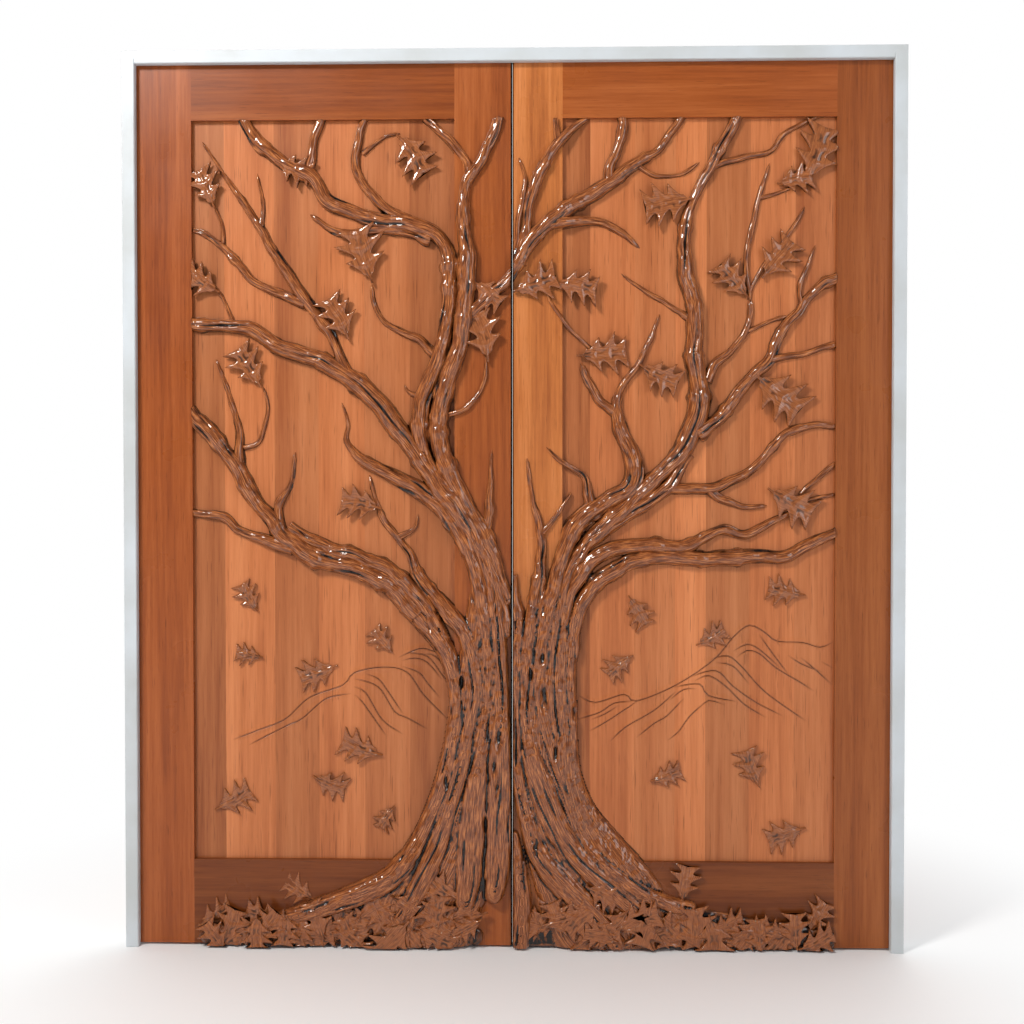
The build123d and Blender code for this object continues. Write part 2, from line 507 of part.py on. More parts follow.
def catch():
    """A bullet catch: sleeve, sprung bullet, spring, and the strike plate let into the head."""
    bore = BULLET_RADIUS + BULLET_CLEARANCE
    floor = LEAF_TOP - CATCH_DEPTH + LIP_THICKNESS
    shoulder_z = LEAF_TOP - LIP_THICKNESS
    sleeve = upright_round(CATCH_X, CATCH_Y, LEAF_TOP - CATCH_DEPTH, LEAF_TOP, CATCH_RADIUS)
    sleeve = sleeve - upright_round(CATCH_X, CATCH_Y, floor, shoulder_z, bore)
    sleeve = sleeve - upright_round(CATCH_X, CATCH_Y, floor, LEAF_TOP + CUT_PAST, bore - BULLET_LIP)

    nose = BULLET_RADIUS - BULLET_LIP
    bullet_foot = shoulder_z - BULLET_SHOULDER
    bullet = upright_round(CATCH_X, CATCH_Y, bullet_foot, shoulder_z, BULLET_RADIUS)
    taper = ((nose, shoulder_z), (nose / 2, BULLET_TOP))
    bullet = bullet + skin([[(x, y, z) for x, y in circle(CATCH_X, CATCH_Y, radius)] for radius, z in taper])

    strike = box(CATCH_X - STRIKE_LENGTH / 2, CATCH_X + STRIKE_LENGTH / 2, CATCH_Y - STRIKE_WIDTH / 2,
                 CATCH_Y + STRIKE_WIDTH / 2, OPENING_Z, OPENING_Z + STRIKE_THICKNESS)
    strike = strike - upright_round(CATCH_X, CATCH_Y, OPENING_Z - CUT_PAST, OPENING_Z + STRIKE_THICKNESS + CUT_PAST,
                                    nose + STRIKE_HOLE_CLEARANCE)
    return {"catch_sleeve": sleeve, "catch_bullet": bullet, "catch_spring": spring(floor, bullet_foot),
            "strike_plate": strike}


def spring(z0, z1):
    """A coil of flat-sided wire between two heights, its ends resting on what is above and below it."""
    radius = BULLET_RADIUS - SPRING_WIRE
    half = SPRING_WIRE / 2
    steps = SPRING_TURNS * SPRING_STEPS
    rings = []
    for k in range(steps + 1):
        angle = 2 * math.pi * SPRING_TURNS * k / steps
        z = z0 + half + (z1 - z0 - SPRING_WIRE) * k / steps
        rings.append([(CATCH_X + (radius + dr) * math.cos(angle), CATCH_Y + (radius + dr) * math.sin(angle), z + dz)
                      for dr, dz in ((-half, -half), (half, -half), (half, half), (-half, half))])
    return skin(rings)


def jamb():
    """One upright of the frame with its stop, and the seats of its three hinge plates."""
    outline = [(FRAME_X, -LEAF_BACK), (STOP_X + FRAME_CHAMFER, -LEAF_BACK), (STOP_X, -LEAF_BACK + FRAME_CHAMFER),
               (STOP_X, STOP_BACK), (OPENING_X, STOP_BACK), (OPENING_X, LEAF_BACK), (FRAME_X, LEAF_BACK)]
    post = upright_prism(outline, 0, OPENING_Z)
    for z in HINGE_MIDDLES:
        post = post - hinge_seat(OPENING_X, OPENING_X + HINGE_PLATE, z)
    return post


def head():
    """The top of the frame: it lies on the two uprights, and its stop fits between theirs."""
    beam = box(-FRAME_X, FRAME_X, -LEAF_BACK, LEAF_BACK, OPENING_Z, FRAME_TOP)
    stop_outline = [(-LEAF_BACK, OPENING_Z), (-LEAF_BACK, STOP_Z + FRAME_CHAMFER),
                    (-LEAF_BACK + FRAME_CHAMFER, STOP_Z), (STOP_BACK, STOP_Z), (STOP_BACK, OPENING_Z)]
    wire = Wire.make_polygon([(-STOP_X, y, z) for y, z in stop_outline], close=True)
    beam = beam + Solid.extrude(Face(wire), Vector(2 * STOP_X, 0, 0))
    seat = box(CATCH_X - STRIKE_LENGTH / 2, CATCH_X + STRIKE_LENGTH / 2, CATCH_Y - STRIKE_WIDTH / 2,
               CATCH_Y + STRIKE_WIDTH / 2, OPENING_Z - CUT_PAST, OPENING_Z + STRIKE_THICKNESS)
    well = upright_round(CATCH_X, CATCH_Y, OPENING_Z, BULLET_TOP + STRIKE_THICKNESS, BULLET_RADIUS)
    for cut in (seat, well, seat.mirror(Plane.YZ), well.mirror(Plane.YZ)):
        beam = beam - cut
    return beam


def leaf(meeting_stile, shares, tree, core, litter, leaves, falling):
    """Every piece of one leaf, built as the right-hand one."""
    pieces = leaf_timber(meeting_stile)
    for number, board in enumerate(panel_boards(meeting_stile, shares), 1):
        pieces[f"board_{number}"] = board
    pieces["tree_carving"], pieces["falling_leaves"] = carving(tree, core, litter, leaves, falling, meeting_stile)
    for name, z in zip(("bottom", "middle", "top"), HINGE_MIDDLES):
        for piece, solid in hinge(z).items():
            pieces[f"{name}_hinge_{piece}"] = solid
    pieces.update(catch())
    pieces["jamb"] = jamb()
    return pieces


def build():
    """All nodes of the pair, by name."""
    nodes = {"head": head()}
    left = leaf(LEFT_MEETING_STILE, LEFT_BOARD_SHARES, left_tree(), left_core(), left_litter(), left_leaves(),
                left_falling())
    right = leaf(RIGHT_MEETING_STILE, RIGHT_BOARD_SHARES, right_tree(), right_core(), right_litter(), right_leaves(),
                 right_falling())
    for name, solid in left.items():
        nodes[f"left_{name}"] = solid.mirror(Plane.YZ)
    for name, solid in right.items():
        nodes[f"right_{name}"] = solid
    return nodes


os.makedirs("parts", exist_ok=True)
for node, solid in build().items():
    export_step(solid, f"parts/{node}.step")
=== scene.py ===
import math
import random

import bpy
import mathutils
import numpy as np
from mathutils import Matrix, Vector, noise


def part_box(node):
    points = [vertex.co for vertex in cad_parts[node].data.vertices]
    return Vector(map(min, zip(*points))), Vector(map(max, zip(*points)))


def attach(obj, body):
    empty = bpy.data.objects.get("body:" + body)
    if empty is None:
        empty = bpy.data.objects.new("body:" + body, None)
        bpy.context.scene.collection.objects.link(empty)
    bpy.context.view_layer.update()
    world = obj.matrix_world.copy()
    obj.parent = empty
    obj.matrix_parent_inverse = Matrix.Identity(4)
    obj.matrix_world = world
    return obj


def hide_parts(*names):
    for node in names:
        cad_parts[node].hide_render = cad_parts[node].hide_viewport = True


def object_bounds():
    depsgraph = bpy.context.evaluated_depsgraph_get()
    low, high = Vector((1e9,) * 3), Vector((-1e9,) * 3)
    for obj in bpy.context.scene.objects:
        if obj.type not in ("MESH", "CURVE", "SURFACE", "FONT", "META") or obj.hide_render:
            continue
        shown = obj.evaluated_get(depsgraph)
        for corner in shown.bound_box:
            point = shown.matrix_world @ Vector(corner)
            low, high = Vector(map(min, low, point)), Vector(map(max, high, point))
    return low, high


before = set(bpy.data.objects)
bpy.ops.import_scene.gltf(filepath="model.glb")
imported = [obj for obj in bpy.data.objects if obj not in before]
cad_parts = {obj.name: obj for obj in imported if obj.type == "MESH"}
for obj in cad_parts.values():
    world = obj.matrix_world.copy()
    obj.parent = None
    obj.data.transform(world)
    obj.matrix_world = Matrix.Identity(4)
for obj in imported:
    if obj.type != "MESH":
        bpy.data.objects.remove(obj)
cad_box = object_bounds()
scene = bpy.context.scene


# The stiles and rails of both leaves: straight-grained hardwood planks, stained red-brown and varnished, with
# the grain along each plank. They are tenoned together, stay as the CAD has them and get their finish here.
STILE_DARK = (0.200, 0.042, 0.008)
STILE_MID = (0.325, 0.080, 0.015)
STILE_LIGHT = (0.450, 0.130, 0.032)
STILE_FIBRE = 62.0
VARNISH_ROUGHNESS = 0.30
VARNISH_HAZE = 0.22
STILE_COAT = 0.22
WOOD_SPECULAR = 0.22
MEETING_EDGE = 0.0034
MEETING_EDGE_BLEND = 0.0005
FIBRE_STRETCH = 0.035
DARK_GRAIN, EVEN_GRAIN, LIGHT_GRAIN = 0.34, 0.50, 0.68
FIBRE_SHARE = 0.45
PORE_STRENGTH = 0.55
PORE_DARKNESS = 0.40
PAINTED_SHADE_DARKNESS = 0.12
FIBRE_HEIGHT = 0.0006


def new_material(name):
    """A material with its node tree and its shader."""
    material = bpy.data.materials.new(name)
    material.use_nodes = True
    return material, material.node_tree, material.node_tree.nodes["Principled BSDF"]


def shader_node(tree, kind, fed, fixed=None, **settings):
    """A node with its settings, the sockets that other nodes feed and the sockets that hold a number."""
    node = tree.nodes.new(f"ShaderNode{kind}")
    for setting, value in settings.items():
        setattr(node, setting, value)
    for socket, source in fed.items():
        tree.links.new(source, node.inputs[socket])
    for socket, value in (fixed or {}).items():
        node.inputs[socket].default_value = value
    return node


def noise_over(tree, vector, scale, detail, roughness=0.5, distortion=0.0):
    """The grey value of a noise texture over the given coordinates."""
    return shader_node(tree, "TexNoise", {"Vector": vector}, {
        "Scale": scale, "Detail": detail, "Roughness": roughness, "Distortion": distortion}).outputs["Fac"]


def mapped(tree, value, from_min, from_max, to_min, to_max):
    """A value moved from one range to another, and held inside it."""
    return shader_node(tree, "MapRange", {"Value": value}, {
        "From Min": from_min, "From Max": from_max, "To Min": to_min, "To Max": to_max}).outputs["Result"]


def calculated(tree, operation, first, second=None):
    """One sum on the values of other nodes."""
    fed = {0: first} if second is None else {0: first, 1: second}
    return shader_node(tree, "Math", fed, operation=operation).outputs["Value"]


def mixed_colour(tree, share, below, colour):
    """A fed colour that gives way to a fixed one by a fed share."""
    return shader_node(tree, "Mix", {"Factor": share, "A": below}, {"B": (*colour, 1.0)},
                       data_type="RGBA").outputs["Result"]


def toned(tree, value, first, *rest):
    """A colour ramp over a grey value, from stops that are each a position and a colour."""
    ramp = shader_node(tree, "ValToRGB", {"Fac": value})
    stops = ramp.color_ramp.elements
    for stop, (position, colour) in zip(stops, (first, rest[-1])):
        stop.position = position
        stop.color = (*colour, 1.0)
    for position, colour in rest[:-1]:
        stops.new(position).color = (*colour, 1.0)
    return ramp.outputs["Color"]


def roughened(tree, shader, height, strength, distance):
    """Gives the shader's surface the fine relief of a grey value."""
    bump = shader_node(tree, "Bump", {"Height": height}, {"Strength": strength, "Distance": distance})
    tree.links.new(bump.outputs["Normal"], shader.inputs["Normal"])


def gap_shade_mask(tree):
    """1 on the faces in the gap between the leaves, which get painted shade and lose their varnish, and 0
    elsewhere.
    """
    place = shader_node(tree, "TexCoord", {}).outputs["Object"]
    across = shader_node(tree, "SeparateXYZ", {"Vector": place}).outputs["X"]
    distance = calculated(tree, "ABSOLUTE", across)
    return mapped(tree, distance, MEETING_EDGE, MEETING_EDGE + MEETING_EDGE_BLEND, 1.0, 0.0)


def dull_where(tree, mask, shader, coat, specular):
    """Takes the varnish off where the mask is 1."""
    for socket, value in (("Coat Weight", coat), ("Specular IOR Level", specular)):
        tree.links.new(mapped(tree, mask, 0.0, 1.0, value, 0.0), shader.inputs[socket])


def wood_material(name, dark, mid, light, along, fibre, roughness, coat, offset):
    """Varnished wood with long fibres, bands and pores along one axis, with painted shade in its cut lines and
    in the gap between the leaves.
    """
    material, tree, shader = new_material(name)
    place = shader_node(tree, "TexCoord", {}).outputs["Object"]
    scale = [fibre, fibre, fibre]
    scale["XYZ".index(along)] = fibre * FIBRE_STRETCH
    stretched = shader_node(tree, "Mapping", {"Vector": place}, {"Scale": scale, "Location": offset})
    stretched = stretched.outputs["Vector"]
    bands = noise_over(tree, stretched, 0.22, 3.0, distortion=0.6)
    fibres = noise_over(tree, stretched, 2.2, 8.0, roughness=0.68)
    pores = noise_over(tree, stretched, 9.0, 2.0)
    grain = shader_node(tree, "Mix", {"A": bands, "B": fibres}, {"Factor": FIBRE_SHARE}, data_type="FLOAT")
    tone = toned(tree, grain.outputs["Result"], (DARK_GRAIN, dark), (EVEN_GRAIN, mid), (LIGHT_GRAIN, light))
    pore_mask = mapped(tree, pores, 0.62, 0.74, 0.0, PORE_STRENGTH)
    pored = mixed_colour(tree, pore_mask, tone, [channel * PORE_DARKNESS for channel in dark])
    # painted shade: the cut lines of the hills and the faces in the gap between the leaves are mixed towards a
    # near-black
    cut_shade = shader_node(tree, "Attribute", {}, attribute_name="painted_shade").outputs["Fac"]
    gap_shade = gap_shade_mask(tree)
    toned_and_shaded = mixed_colour(tree, calculated(tree, "MAXIMUM", cut_shade, gap_shade), pored,
                           [channel * PAINTED_SHADE_DARKNESS for channel in dark])
    tree.links.new(toned_and_shaded, shader.inputs["Base Color"])
    wear = noise_over(tree, place, 7.0, 4.0)
    worn = mapped(tree, wear, 0.3, 0.7, roughness - 0.06, roughness + 0.12)
    tree.links.new(worn, shader.inputs["Roughness"])
    shader.inputs["Coat Roughness"].default_value = VARNISH_HAZE
    dull_where(tree, gap_shade, shader, coat, WOOD_SPECULAR)
    roughened(tree, shader, fibres, 0.35, FIBRE_HEIGHT)
    return material


def repaint(node, material):
    """Puts one material in every slot of a CAD node."""
    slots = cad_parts[node].data.materials
    for k in range(len(slots)):
        slots[k] = material


# each plank's own tint, except that the bottom rails are darkened as painted shade
PLANK_TINTS_AND_SHADE = {
    "left": {"meeting_stile": (1.10, 1.14, 1.30), "hinge_stile": (1.02, 0.99, 1.05),
             "top_rail": (0.86, 0.82, 0.72), "bottom_rail": (0.61, 0.61, 0.58)},
    "right": {"meeting_stile": (1.62, 2.10, 2.90), "hinge_stile": (0.88, 0.92, 0.94),
              "top_rail": (1.03, 1.02, 1.04), "bottom_rail": (0.64, 0.66, 0.66)}}
GRAIN_SHIFT = 2.9
RIGHT_LEAF_SHIFT = 7.3

for side, tints_and_shade in PLANK_TINTS_AND_SHADE.items():
    for number, (plank, tint_and_shade) in enumerate(tints_and_shade.items()):
        colours = [tuple(map(float.__mul__, colour, tint_and_shade)) for colour in (STILE_DARK, STILE_MID, STILE_LIGHT)]
        shift = number * GRAIN_SHIFT + (RIGHT_LEAF_SHIFT if side == "right" else 0.0)
        wood = wood_material(f"{side}_{plank}_wood", *colours, "X" if "rail" in plank else "Z", STILE_FIBRE,
                             VARNISH_ROUGHNESS, STILE_COAT, (shift, 0.0, shift))
        repaint(f"{side}_{plank}", wood)

# The panels: boards glued edge to edge, of a lighter and warmer wood than the stiles, each from another plank,
# so that tint and grain differ. The hills are cut into them, and they are varnished with the stiles.
# each board's own tint, except that the first left board is darkened as painted shade
BOARD_TINTS_AND_SHADE = {
    "left": (0.76, 1.06, 0.86, 1.05, 0.9, 0.76),
    "right": (0.95, 1.08, 0.84, 1.15, 0.96, 1.06, 0.8)}
BOARD_DARK = (0.340, 0.090, 0.026)
BOARD_MID = (0.510, 0.162, 0.054)
BOARD_LIGHT = (0.660, 0.240, 0.092)

BOARD_FIBRE = 40.0
BOARD_COAT = 0.18
BOARD_ROUGHNESS = 0.34
TONGUE_THICKNESS = 0.012
PANEL_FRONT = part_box("left_board_3")[0][1]
PANEL_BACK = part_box("left_board_3")[1][1]
FIELD_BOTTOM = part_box("left_bottom_rail")[1][2]
FIELD_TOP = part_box("left_top_rail")[0][2]
HILLS_FROM = 0.475
HILLS_TO = 0.800
CARVED_STEP = 0.0022
LINE_DEPTH = 0.0030
LINE_HALF_WIDTH = 0.0013
LIP_HEIGHT = 0.0016
LIP_HALF_WIDTH = 0.0075
LINE_END = 0.030

# the lines of the hills, cut into the boards: distance from the meeting line and height, in millimetres
HILL_LINES = {
    "left": (
        ((680, 500), (622, 522), (554, 550), (494, 603), (412, 634), (384, 664), (314, 678), (256, 666),
         (214, 610), (156, 552)),
        ((642, 487), (552, 533), (512, 552), (454, 600), (394, 613)),
        ((266, 680), (226, 665), (206, 640), (176, 605)),
        ((276, 702), (226, 723), (196, 719), (146, 702)),
        ((256, 712), (206, 705), (166, 655), (141, 625)),
        ((216, 710), (186, 705), (141, 650)),
        ((266, 695), (236, 700), (206, 690), (171, 650)),
        ((384, 650), (326, 630), (286, 570), (256, 555), (206, 528)),
        ((356, 662), (326, 650), (306, 625), (266, 565)),
        ((384, 630), (356, 615), (316, 550), (266, 515)),
        ((384, 610), (366, 595), (306, 510))),
    "right": (
        ((160, 612), (201, 594), (271, 614), (300, 598), (394, 636), (486, 698), (534, 754), (572, 782),
         (608, 766), (639, 744), (699, 741), (742, 730), (772, 742)),
        ((480, 700), (520, 708), (552, 684), (612, 620), (708, 552)),
        ((492, 692), (532, 684), (572, 640)),
        ((432, 658), (492, 672), (534, 634), (592, 594), (652, 564)),
        ((442, 648), (474, 660), (514, 636), (562, 590), (612, 560)),
        ((392, 632), (452, 640), (474, 612), (542, 598)),
        ((382, 602), (414, 626), (444, 628)),
        ((452, 580), (474, 600), (514, 590)),
        ((238, 500), (274, 534), (344, 576), (394, 620)),
        ((302, 510), (344, 544), (374, 562), (414, 604)),
        ((378, 504), (404, 526), (428, 560), (464, 594)),
        ((157, 553), (212, 570), (246, 592), (294, 598)),
        ((192, 553), (224, 566), (254, 585)),
        ((187, 525), (224, 545), (286, 586), (304, 600)),
        ((544, 706), (566, 721), (596, 714), (636, 680), (696, 644), (726, 625)),
        ((534, 720), (566, 736), (596, 724), (646, 680)),
        ((596, 760), (624, 720), (666, 664)),
        ((666, 710), (696, 690), (746, 670)),
        ((696, 704), (726, 680), (770, 640)),
        ((746, 695), (772, 680)))}


def smooth_line(points, step):
    """Stations along a smooth line through given points, of any number of values each."""
    stations = []
    ends = [points[0]] + list(points) + [points[-1]]
    for before, start, end, after in zip(ends, ends[1:], ends[2:], ends[3:]):
        steps = max(1, round(math.dist(start[:2], end[:2]) / step))
        for k in range(steps):
            t = k / steps
            stations.append([
                0.5 * (2 * start[i] + (end[i] - before[i]) * t
                       + (2 * before[i] - 5 * start[i] + 4 * end[i] - after[i]) * t ** 2
                       + (3 * start[i] - before[i] - 3 * end[i] + after[i]) * t ** 3)
                for i in range(len(start))])
    stations.append(list(points[-1]))
    return stations


def hill_relief(across, height, lines):
    """How far the panel's face stands out, and how much painted shade its cut lines get, for arrays of places
    in metres.
    """
    cut = np.zeros(across.shape)
    lip = np.zeros(across.shape)
    for line in lines:
        stations = [(u / 1000.0, v / 1000.0) for u, v in smooth_line(line, 12.0)]
        total = sum(math.dist(a, b) for a, b in zip(stations, stations[1:]))
        done = 0.0
        for (u0, v0), (u1, v1) in zip(stations, stations[1:]):
            length = math.dist((u0, v0), (u1, v1))
            t = np.clip(((across - u0) * (u1 - u0) + (height - v0) * (v1 - v0)) / length ** 2, 0.0, 1.0)
            distance = np.hypot(across - u0 - t * (u1 - u0), height - v0 - t * (v1 - v0))
            run = done + t * length
            strength = np.clip(np.minimum(run, total - run) / LINE_END + 0.15, 0.0, 1.0)
            cut = np.maximum(cut, strength * np.exp(-(distance / LINE_HALF_WIDTH) ** 2))
            lip = np.maximum(lip, strength * np.exp(-(distance / LIP_HALF_WIDTH) ** 2))
            done += length
    return LIP_HEIGHT * lip - LINE_DEPTH * cut, cut


def box_faces(x0, x1, y0, y1, z0, z1):
    """Corners and outward faces of a block."""
    corners = [(x, y, z) for x in (x0, x1) for y in (y0, y1) for z in (z0, z1)]
    faces = [(0, 1, 3, 2), (4, 6, 7, 5), (0, 4, 5, 1), (2, 3, 7, 6), (0, 2, 6, 4), (1, 5, 7, 3)]
    return corners, faces


def carved_board(name, side, node, material):
    """A board of the panel with its tongues, whose front is a grid that carries the hills."""
    low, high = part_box(node)
    hinge_low, hinge_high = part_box(f"{side}_hinge_stile")
    meeting_low, meeting_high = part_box(f"{side}_meeting_stile")
    x0 = max(low[0], hinge_high[0] if side == "left" else meeting_high[0])
    x1 = min(high[0], meeting_low[0] if side == "left" else hinge_low[0])
    columns = round((x1 - x0) / CARVED_STEP)
    rows = round((HILLS_TO - HILLS_FROM) / CARVED_STEP)
    xs = np.linspace(x0, x1, columns + 1)
    zs = np.concatenate(([FIELD_BOTTOM], np.linspace(HILLS_FROM, HILLS_TO, rows + 1), [FIELD_TOP]))
    x, z = np.meshgrid(xs, zs)
    relief, painted_shade = hill_relief(np.abs(x), z, HILL_LINES[side])
    for edge in (relief[0], relief[-1], painted_shade[0], painted_shade[-1]):
        edge[:] = 0.0
    y = PANEL_FRONT - relief
    width = len(xs)
    front = [(float(a), float(b), float(c)) for a, b, c in zip(x.ravel(), y.ravel(), z.ravel())]
    faces = []
    for i in range(len(zs) - 1):
        for j in range(columns):
            a = i * width + j
            faces.append((a, a + 1, a + width + 1, a + width))
    corner = len(front)
    verts = front + [(x0, PANEL_BACK, FIELD_BOTTOM), (x1, PANEL_BACK, FIELD_BOTTOM),
                     (x1, PANEL_BACK, FIELD_TOP), (x0, PANEL_BACK, FIELD_TOP)]
    last = (len(zs) - 1) * width
    left_edge = [i * width for i in range(len(zs))]
    right_edge = [i * width + columns for i in range(len(zs))]
    faces.append((corner, corner + 3, corner + 2, corner + 1))
    faces.append(tuple(range(columns, -1, -1)) + (corner, corner + 1))
    faces.append(tuple(range(last, last + columns + 1)) + (corner + 2, corner + 3))
    faces.append(tuple(left_edge) + (corner + 3, corner))
    faces.append(tuple(right_edge[::-1]) + (corner + 1, corner + 2))
    tongue_front = (PANEL_FRONT + PANEL_BACK - TONGUE_THICKNESS) / 2
    tongue, tongue_faces = box_faces(low[0], high[0], tongue_front, tongue_front + TONGUE_THICKNESS,
                                     low[2], high[2])
    first = len(verts)
    verts += tongue
    faces += [tuple(first + k for k in face) for face in tongue_faces]
    mesh = bpy.data.meshes.new(name)
    mesh.from_pydata(verts, [], faces)
    # painted shade along the cut lines of the hills, carried on the points
    cut_shade_layer = mesh.attributes.new("painted_shade", "FLOAT", "POINT")
    cut_shade_layer.data.foreach_set("value", np.concatenate((painted_shade.ravel(), np.zeros(len(verts) - painted_shade.size))))
    mesh.materials.append(material)
    mesh.update()
    board = bpy.data.objects.new(name, mesh)
    scene.collection.objects.link(board)
    bpy.ops.object.select_all(action="DESELECT")
    bpy.context.view_layer.objects.active = board
    board.select_set(True)
    bpy.ops.object.shade_smooth_by_angle(angle=math.radians(60.0))
    return board


for side, tints_and_shade in BOARD_TINTS_AND_SHADE.items():
    for number, tint_and_shade in enumerate(tints_and_shade, 1):
        tinted = [[channel * tint_and_shade for channel in colour] for colour in (BOARD_DARK, BOARD_MID, BOARD_LIGHT)]
        wood = wood_material(f"{side}_board_{number}_wood", *tinted, "Z", BOARD_FIBRE, BOARD_ROUGHNESS,
                             BOARD_COAT, (number * 1.7, 0.0, number * 5.1))
        board = carved_board(f"{side}_panel_board_{number}", side, f"{side}_board_{number}", wood)
        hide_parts(f"{side}_board_{number}")
        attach(board, f"{side}_leaf")

# The tree: trunk strands, roots, limbs and twigs, carved in wood with long bark ridges and deep grooves. Each
# half of it is one carving, glued to the panel and fitted over the meeting stile and the bottom rail.
# Painted shade darkens the bark's furrows, hollows and creases and the litter bank, through a shade amount on
# each point.
MM = 0.001
FIELD_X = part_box("right_tree_carving")[1][0]
FLOOR_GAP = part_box("right_meeting_stile")[0][2]
MEETING_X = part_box("right_meeting_stile")[0][0]
CARVING_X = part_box("right_tree_carving")[0][0]
DRAWN_WIDTH = 774.0
MEETING_STILES = {"left": 138.0, "right": 120.0}
BOTTOM_RAIL = 205.0
PANEL_RECESS = 12.0
RAMP = 60.0
THICKEST_RELIEF = 33.5
THINNEST_RELIEF = 6.0
CORE_RELIEF = 20.0
RELIEF_PER_HALF_WIDTH = 1.15
BARK_GROOVE_PITCH = 27.0
BARK_GROOVE_HALF_WIDTH = 2.7
BARK_GROOVE_DEPTH = 9.0
MOST_RELIEF = PANEL_RECESS + THICKEST_RELIEF
STATION_STEP = 6.0
ACROSS_STEP = 3.0
BURIED = 0.5
GROOVE_WANDER = 9.0
BROAD_LUMP = 3.0
SMALL_LUMP = 2.6
SWELLING_LENGTH = 60.0
KNOT_LENGTH = 26.0
BEND_LENGTH = 48.0
MOST_BEND = 5.0
TIP_LENGTH = 14.0
TIP_HALF_WIDTH = 9
FLAT_TOP = 2.6
STEEP_SIDE = 0.62
CREASE_SHADE = 0.8
GRAIN_U, GRAIN_V = 0.31, 0.77

LEFT_STRANDS = [
    # strands that rise from the roots through the trunk into the limbs
    [(650, 28, 12), (560, 60, 20), (450, 94, 26), (330, 142, 30), (270, 185, 27), (212, 275, 24),
     (162, 400, 26), (137, 530, 22), (135, 620, 20), (160, 715, 24), (228, 800, 25), (300, 872, 24),
     (385, 912, 24), (470, 935, 26), (545, 985, 24), (612, 1068, 22), (658, 1140, 21), (712, 1215, 19),
     (782, 1298, 17)],
    [(148, 690, 16), (178, 765, 19), (235, 850, 20), (320, 922, 20), (445, 962, 18), (540, 1015, 14)],
    [(285, 30, 22), (232, 128, 30), (180, 240, 30), (135, 380, 26), (105, 520, 22), (90, 650, 22),
     (112, 755, 22), (165, 822, 20), (222, 888, 16), (250, 950, 12), (305, 1022, 9), (330, 1078, 7),
     (345, 1140, 3)],
    [(112, 112, 28), (102, 200, 38), (92, 320, 36), (78, 450, 26), (60, 590, 18), (58, 700, 19),
     (74, 840, 22), (108, 970, 22), (170, 1062, 24), (260, 1125, 19), (345, 1165, 15), (398, 1215, 8),
     (397, 1265, 6), (412, 1315, 3)],
    [(42, 128, 26), (34, 220, 36), (30, 380, 34), (30, 470, 30), (26, 620, 21), (38, 800, 22), (70, 945, 25),
     (135, 1060, 28), (210, 1155, 26), (290, 1272, 25), (375, 1362, 24), (470, 1418, 22), (560, 1450, 20),
     (645, 1494, 17), (782, 1507, 16)],
    [(14, 760, 15), (34, 870, 19), (92, 1000, 22), (165, 1110, 23), (216, 1205, 23), (216, 1310, 23),
     (182, 1405, 22), (156, 1510, 21), (148, 1620, 21), (172, 1705, 21), (235, 1740, 22), (350, 1762, 18),
     (442, 1798, 20), (490, 1862, 18), (560, 1898, 17), (620, 1955, 15), (650, 2002, 14)],
    [(10, 840, 14), (52, 970, 21), (118, 1080, 25), (168, 1195, 25), (172, 1300, 25), (140, 1405, 24),
     (115, 1520, 24), (108, 1640, 24), (116, 1750, 18), (112, 1835, 16), (68, 1905, 14), (42, 1960, 14),
     (32, 2002, 14)],
    # limbs
    [(100, 1845, 14), (112, 1895, 12), (150, 1945, 12), (206, 2002, 11)],
    [(250, 1750, 15), (300, 1778, 14), (345, 1822, 12), (374, 1880, 11), (370, 1945, 10), (352, 2002, 10)],
    [(478, 1840, 14), (488, 1885, 12), (478, 1945, 12), (462, 2002, 14)],
    [(195, 1708, 15), (262, 1727, 14), (335, 1732, 12), (410, 1722, 11), (488, 1768, 6)],
    [(390, 1365, 17), (418, 1440, 14), (462, 1515, 15), (520, 1592, 16), (585, 1692, 12), (640, 1790, 9),
     (692, 1858, 6), (750, 1945, 3)],
    [(500, 1555, 12), (565, 1580, 12), (625, 1608, 11), (675, 1665, 10), (735, 1718, 8), (782, 1735, 7)],
    [(655, 1125, 15), (660, 1185, 13), (664, 1255, 9), (685, 1325, 6), (717, 1420, 3)],
    [(560, 1000, 15), (566, 1060, 12), (540, 1112, 8), (526, 1195, 4)],
    [(530, 962, 18), (602, 984, 15), (662, 1005, 12), (700, 1035, 11), (782, 1048, 11)],
    [(60, 940, 17), (58, 1020, 15), (52, 1090, 10), (47, 1200, 3)],
    [(188, 1432, 14), (225, 1468, 11), (302, 1503, 8), (330, 1550, 7), (338, 1600, 5)],
    [(112, 1512, 17), (60, 1560, 17), (-25, 1640, 17)],
    # twigs
    [(700, 1700, 7), (702, 1745, 6), (722, 1790, 4)],
    [(608, 1742, 8), (602, 1795, 6), (618, 1868, 3)],
    [(650, 1205, 8), (612, 1226, 6), (592, 1300, 5), (604, 1350, 4)],
    [(152, 1285, 9), (105, 1304, 8), (66, 1365, 6), (62, 1430, 4)],
    [(278, 986, 7), (238, 1012, 5), (228, 1046, 3)],
    [(218, 1325, 8), (248, 1338, 5), (262, 1358, 3)],
    [(362, 1915, 8), (305, 1955, 5), (270, 1962, 4)],
    [(672, 1502, 7), (694, 1555, 5), (716, 1592, 4)],
]
LEFT_CORE = [(215, 84, 140), (155, 190, 112), (108, 310, 92), (84, 450, 74), (76, 620, 66), (66, 740, 56),
    (62, 830, 46), (70, 900, 34)]
LEFT_LITTER = [(92, 22, 24), (185, 42, 46), (300, 52, 54), (420, 46, 46), (540, 36, 38), (645, 26, 30),
    (740, 22, 24)]
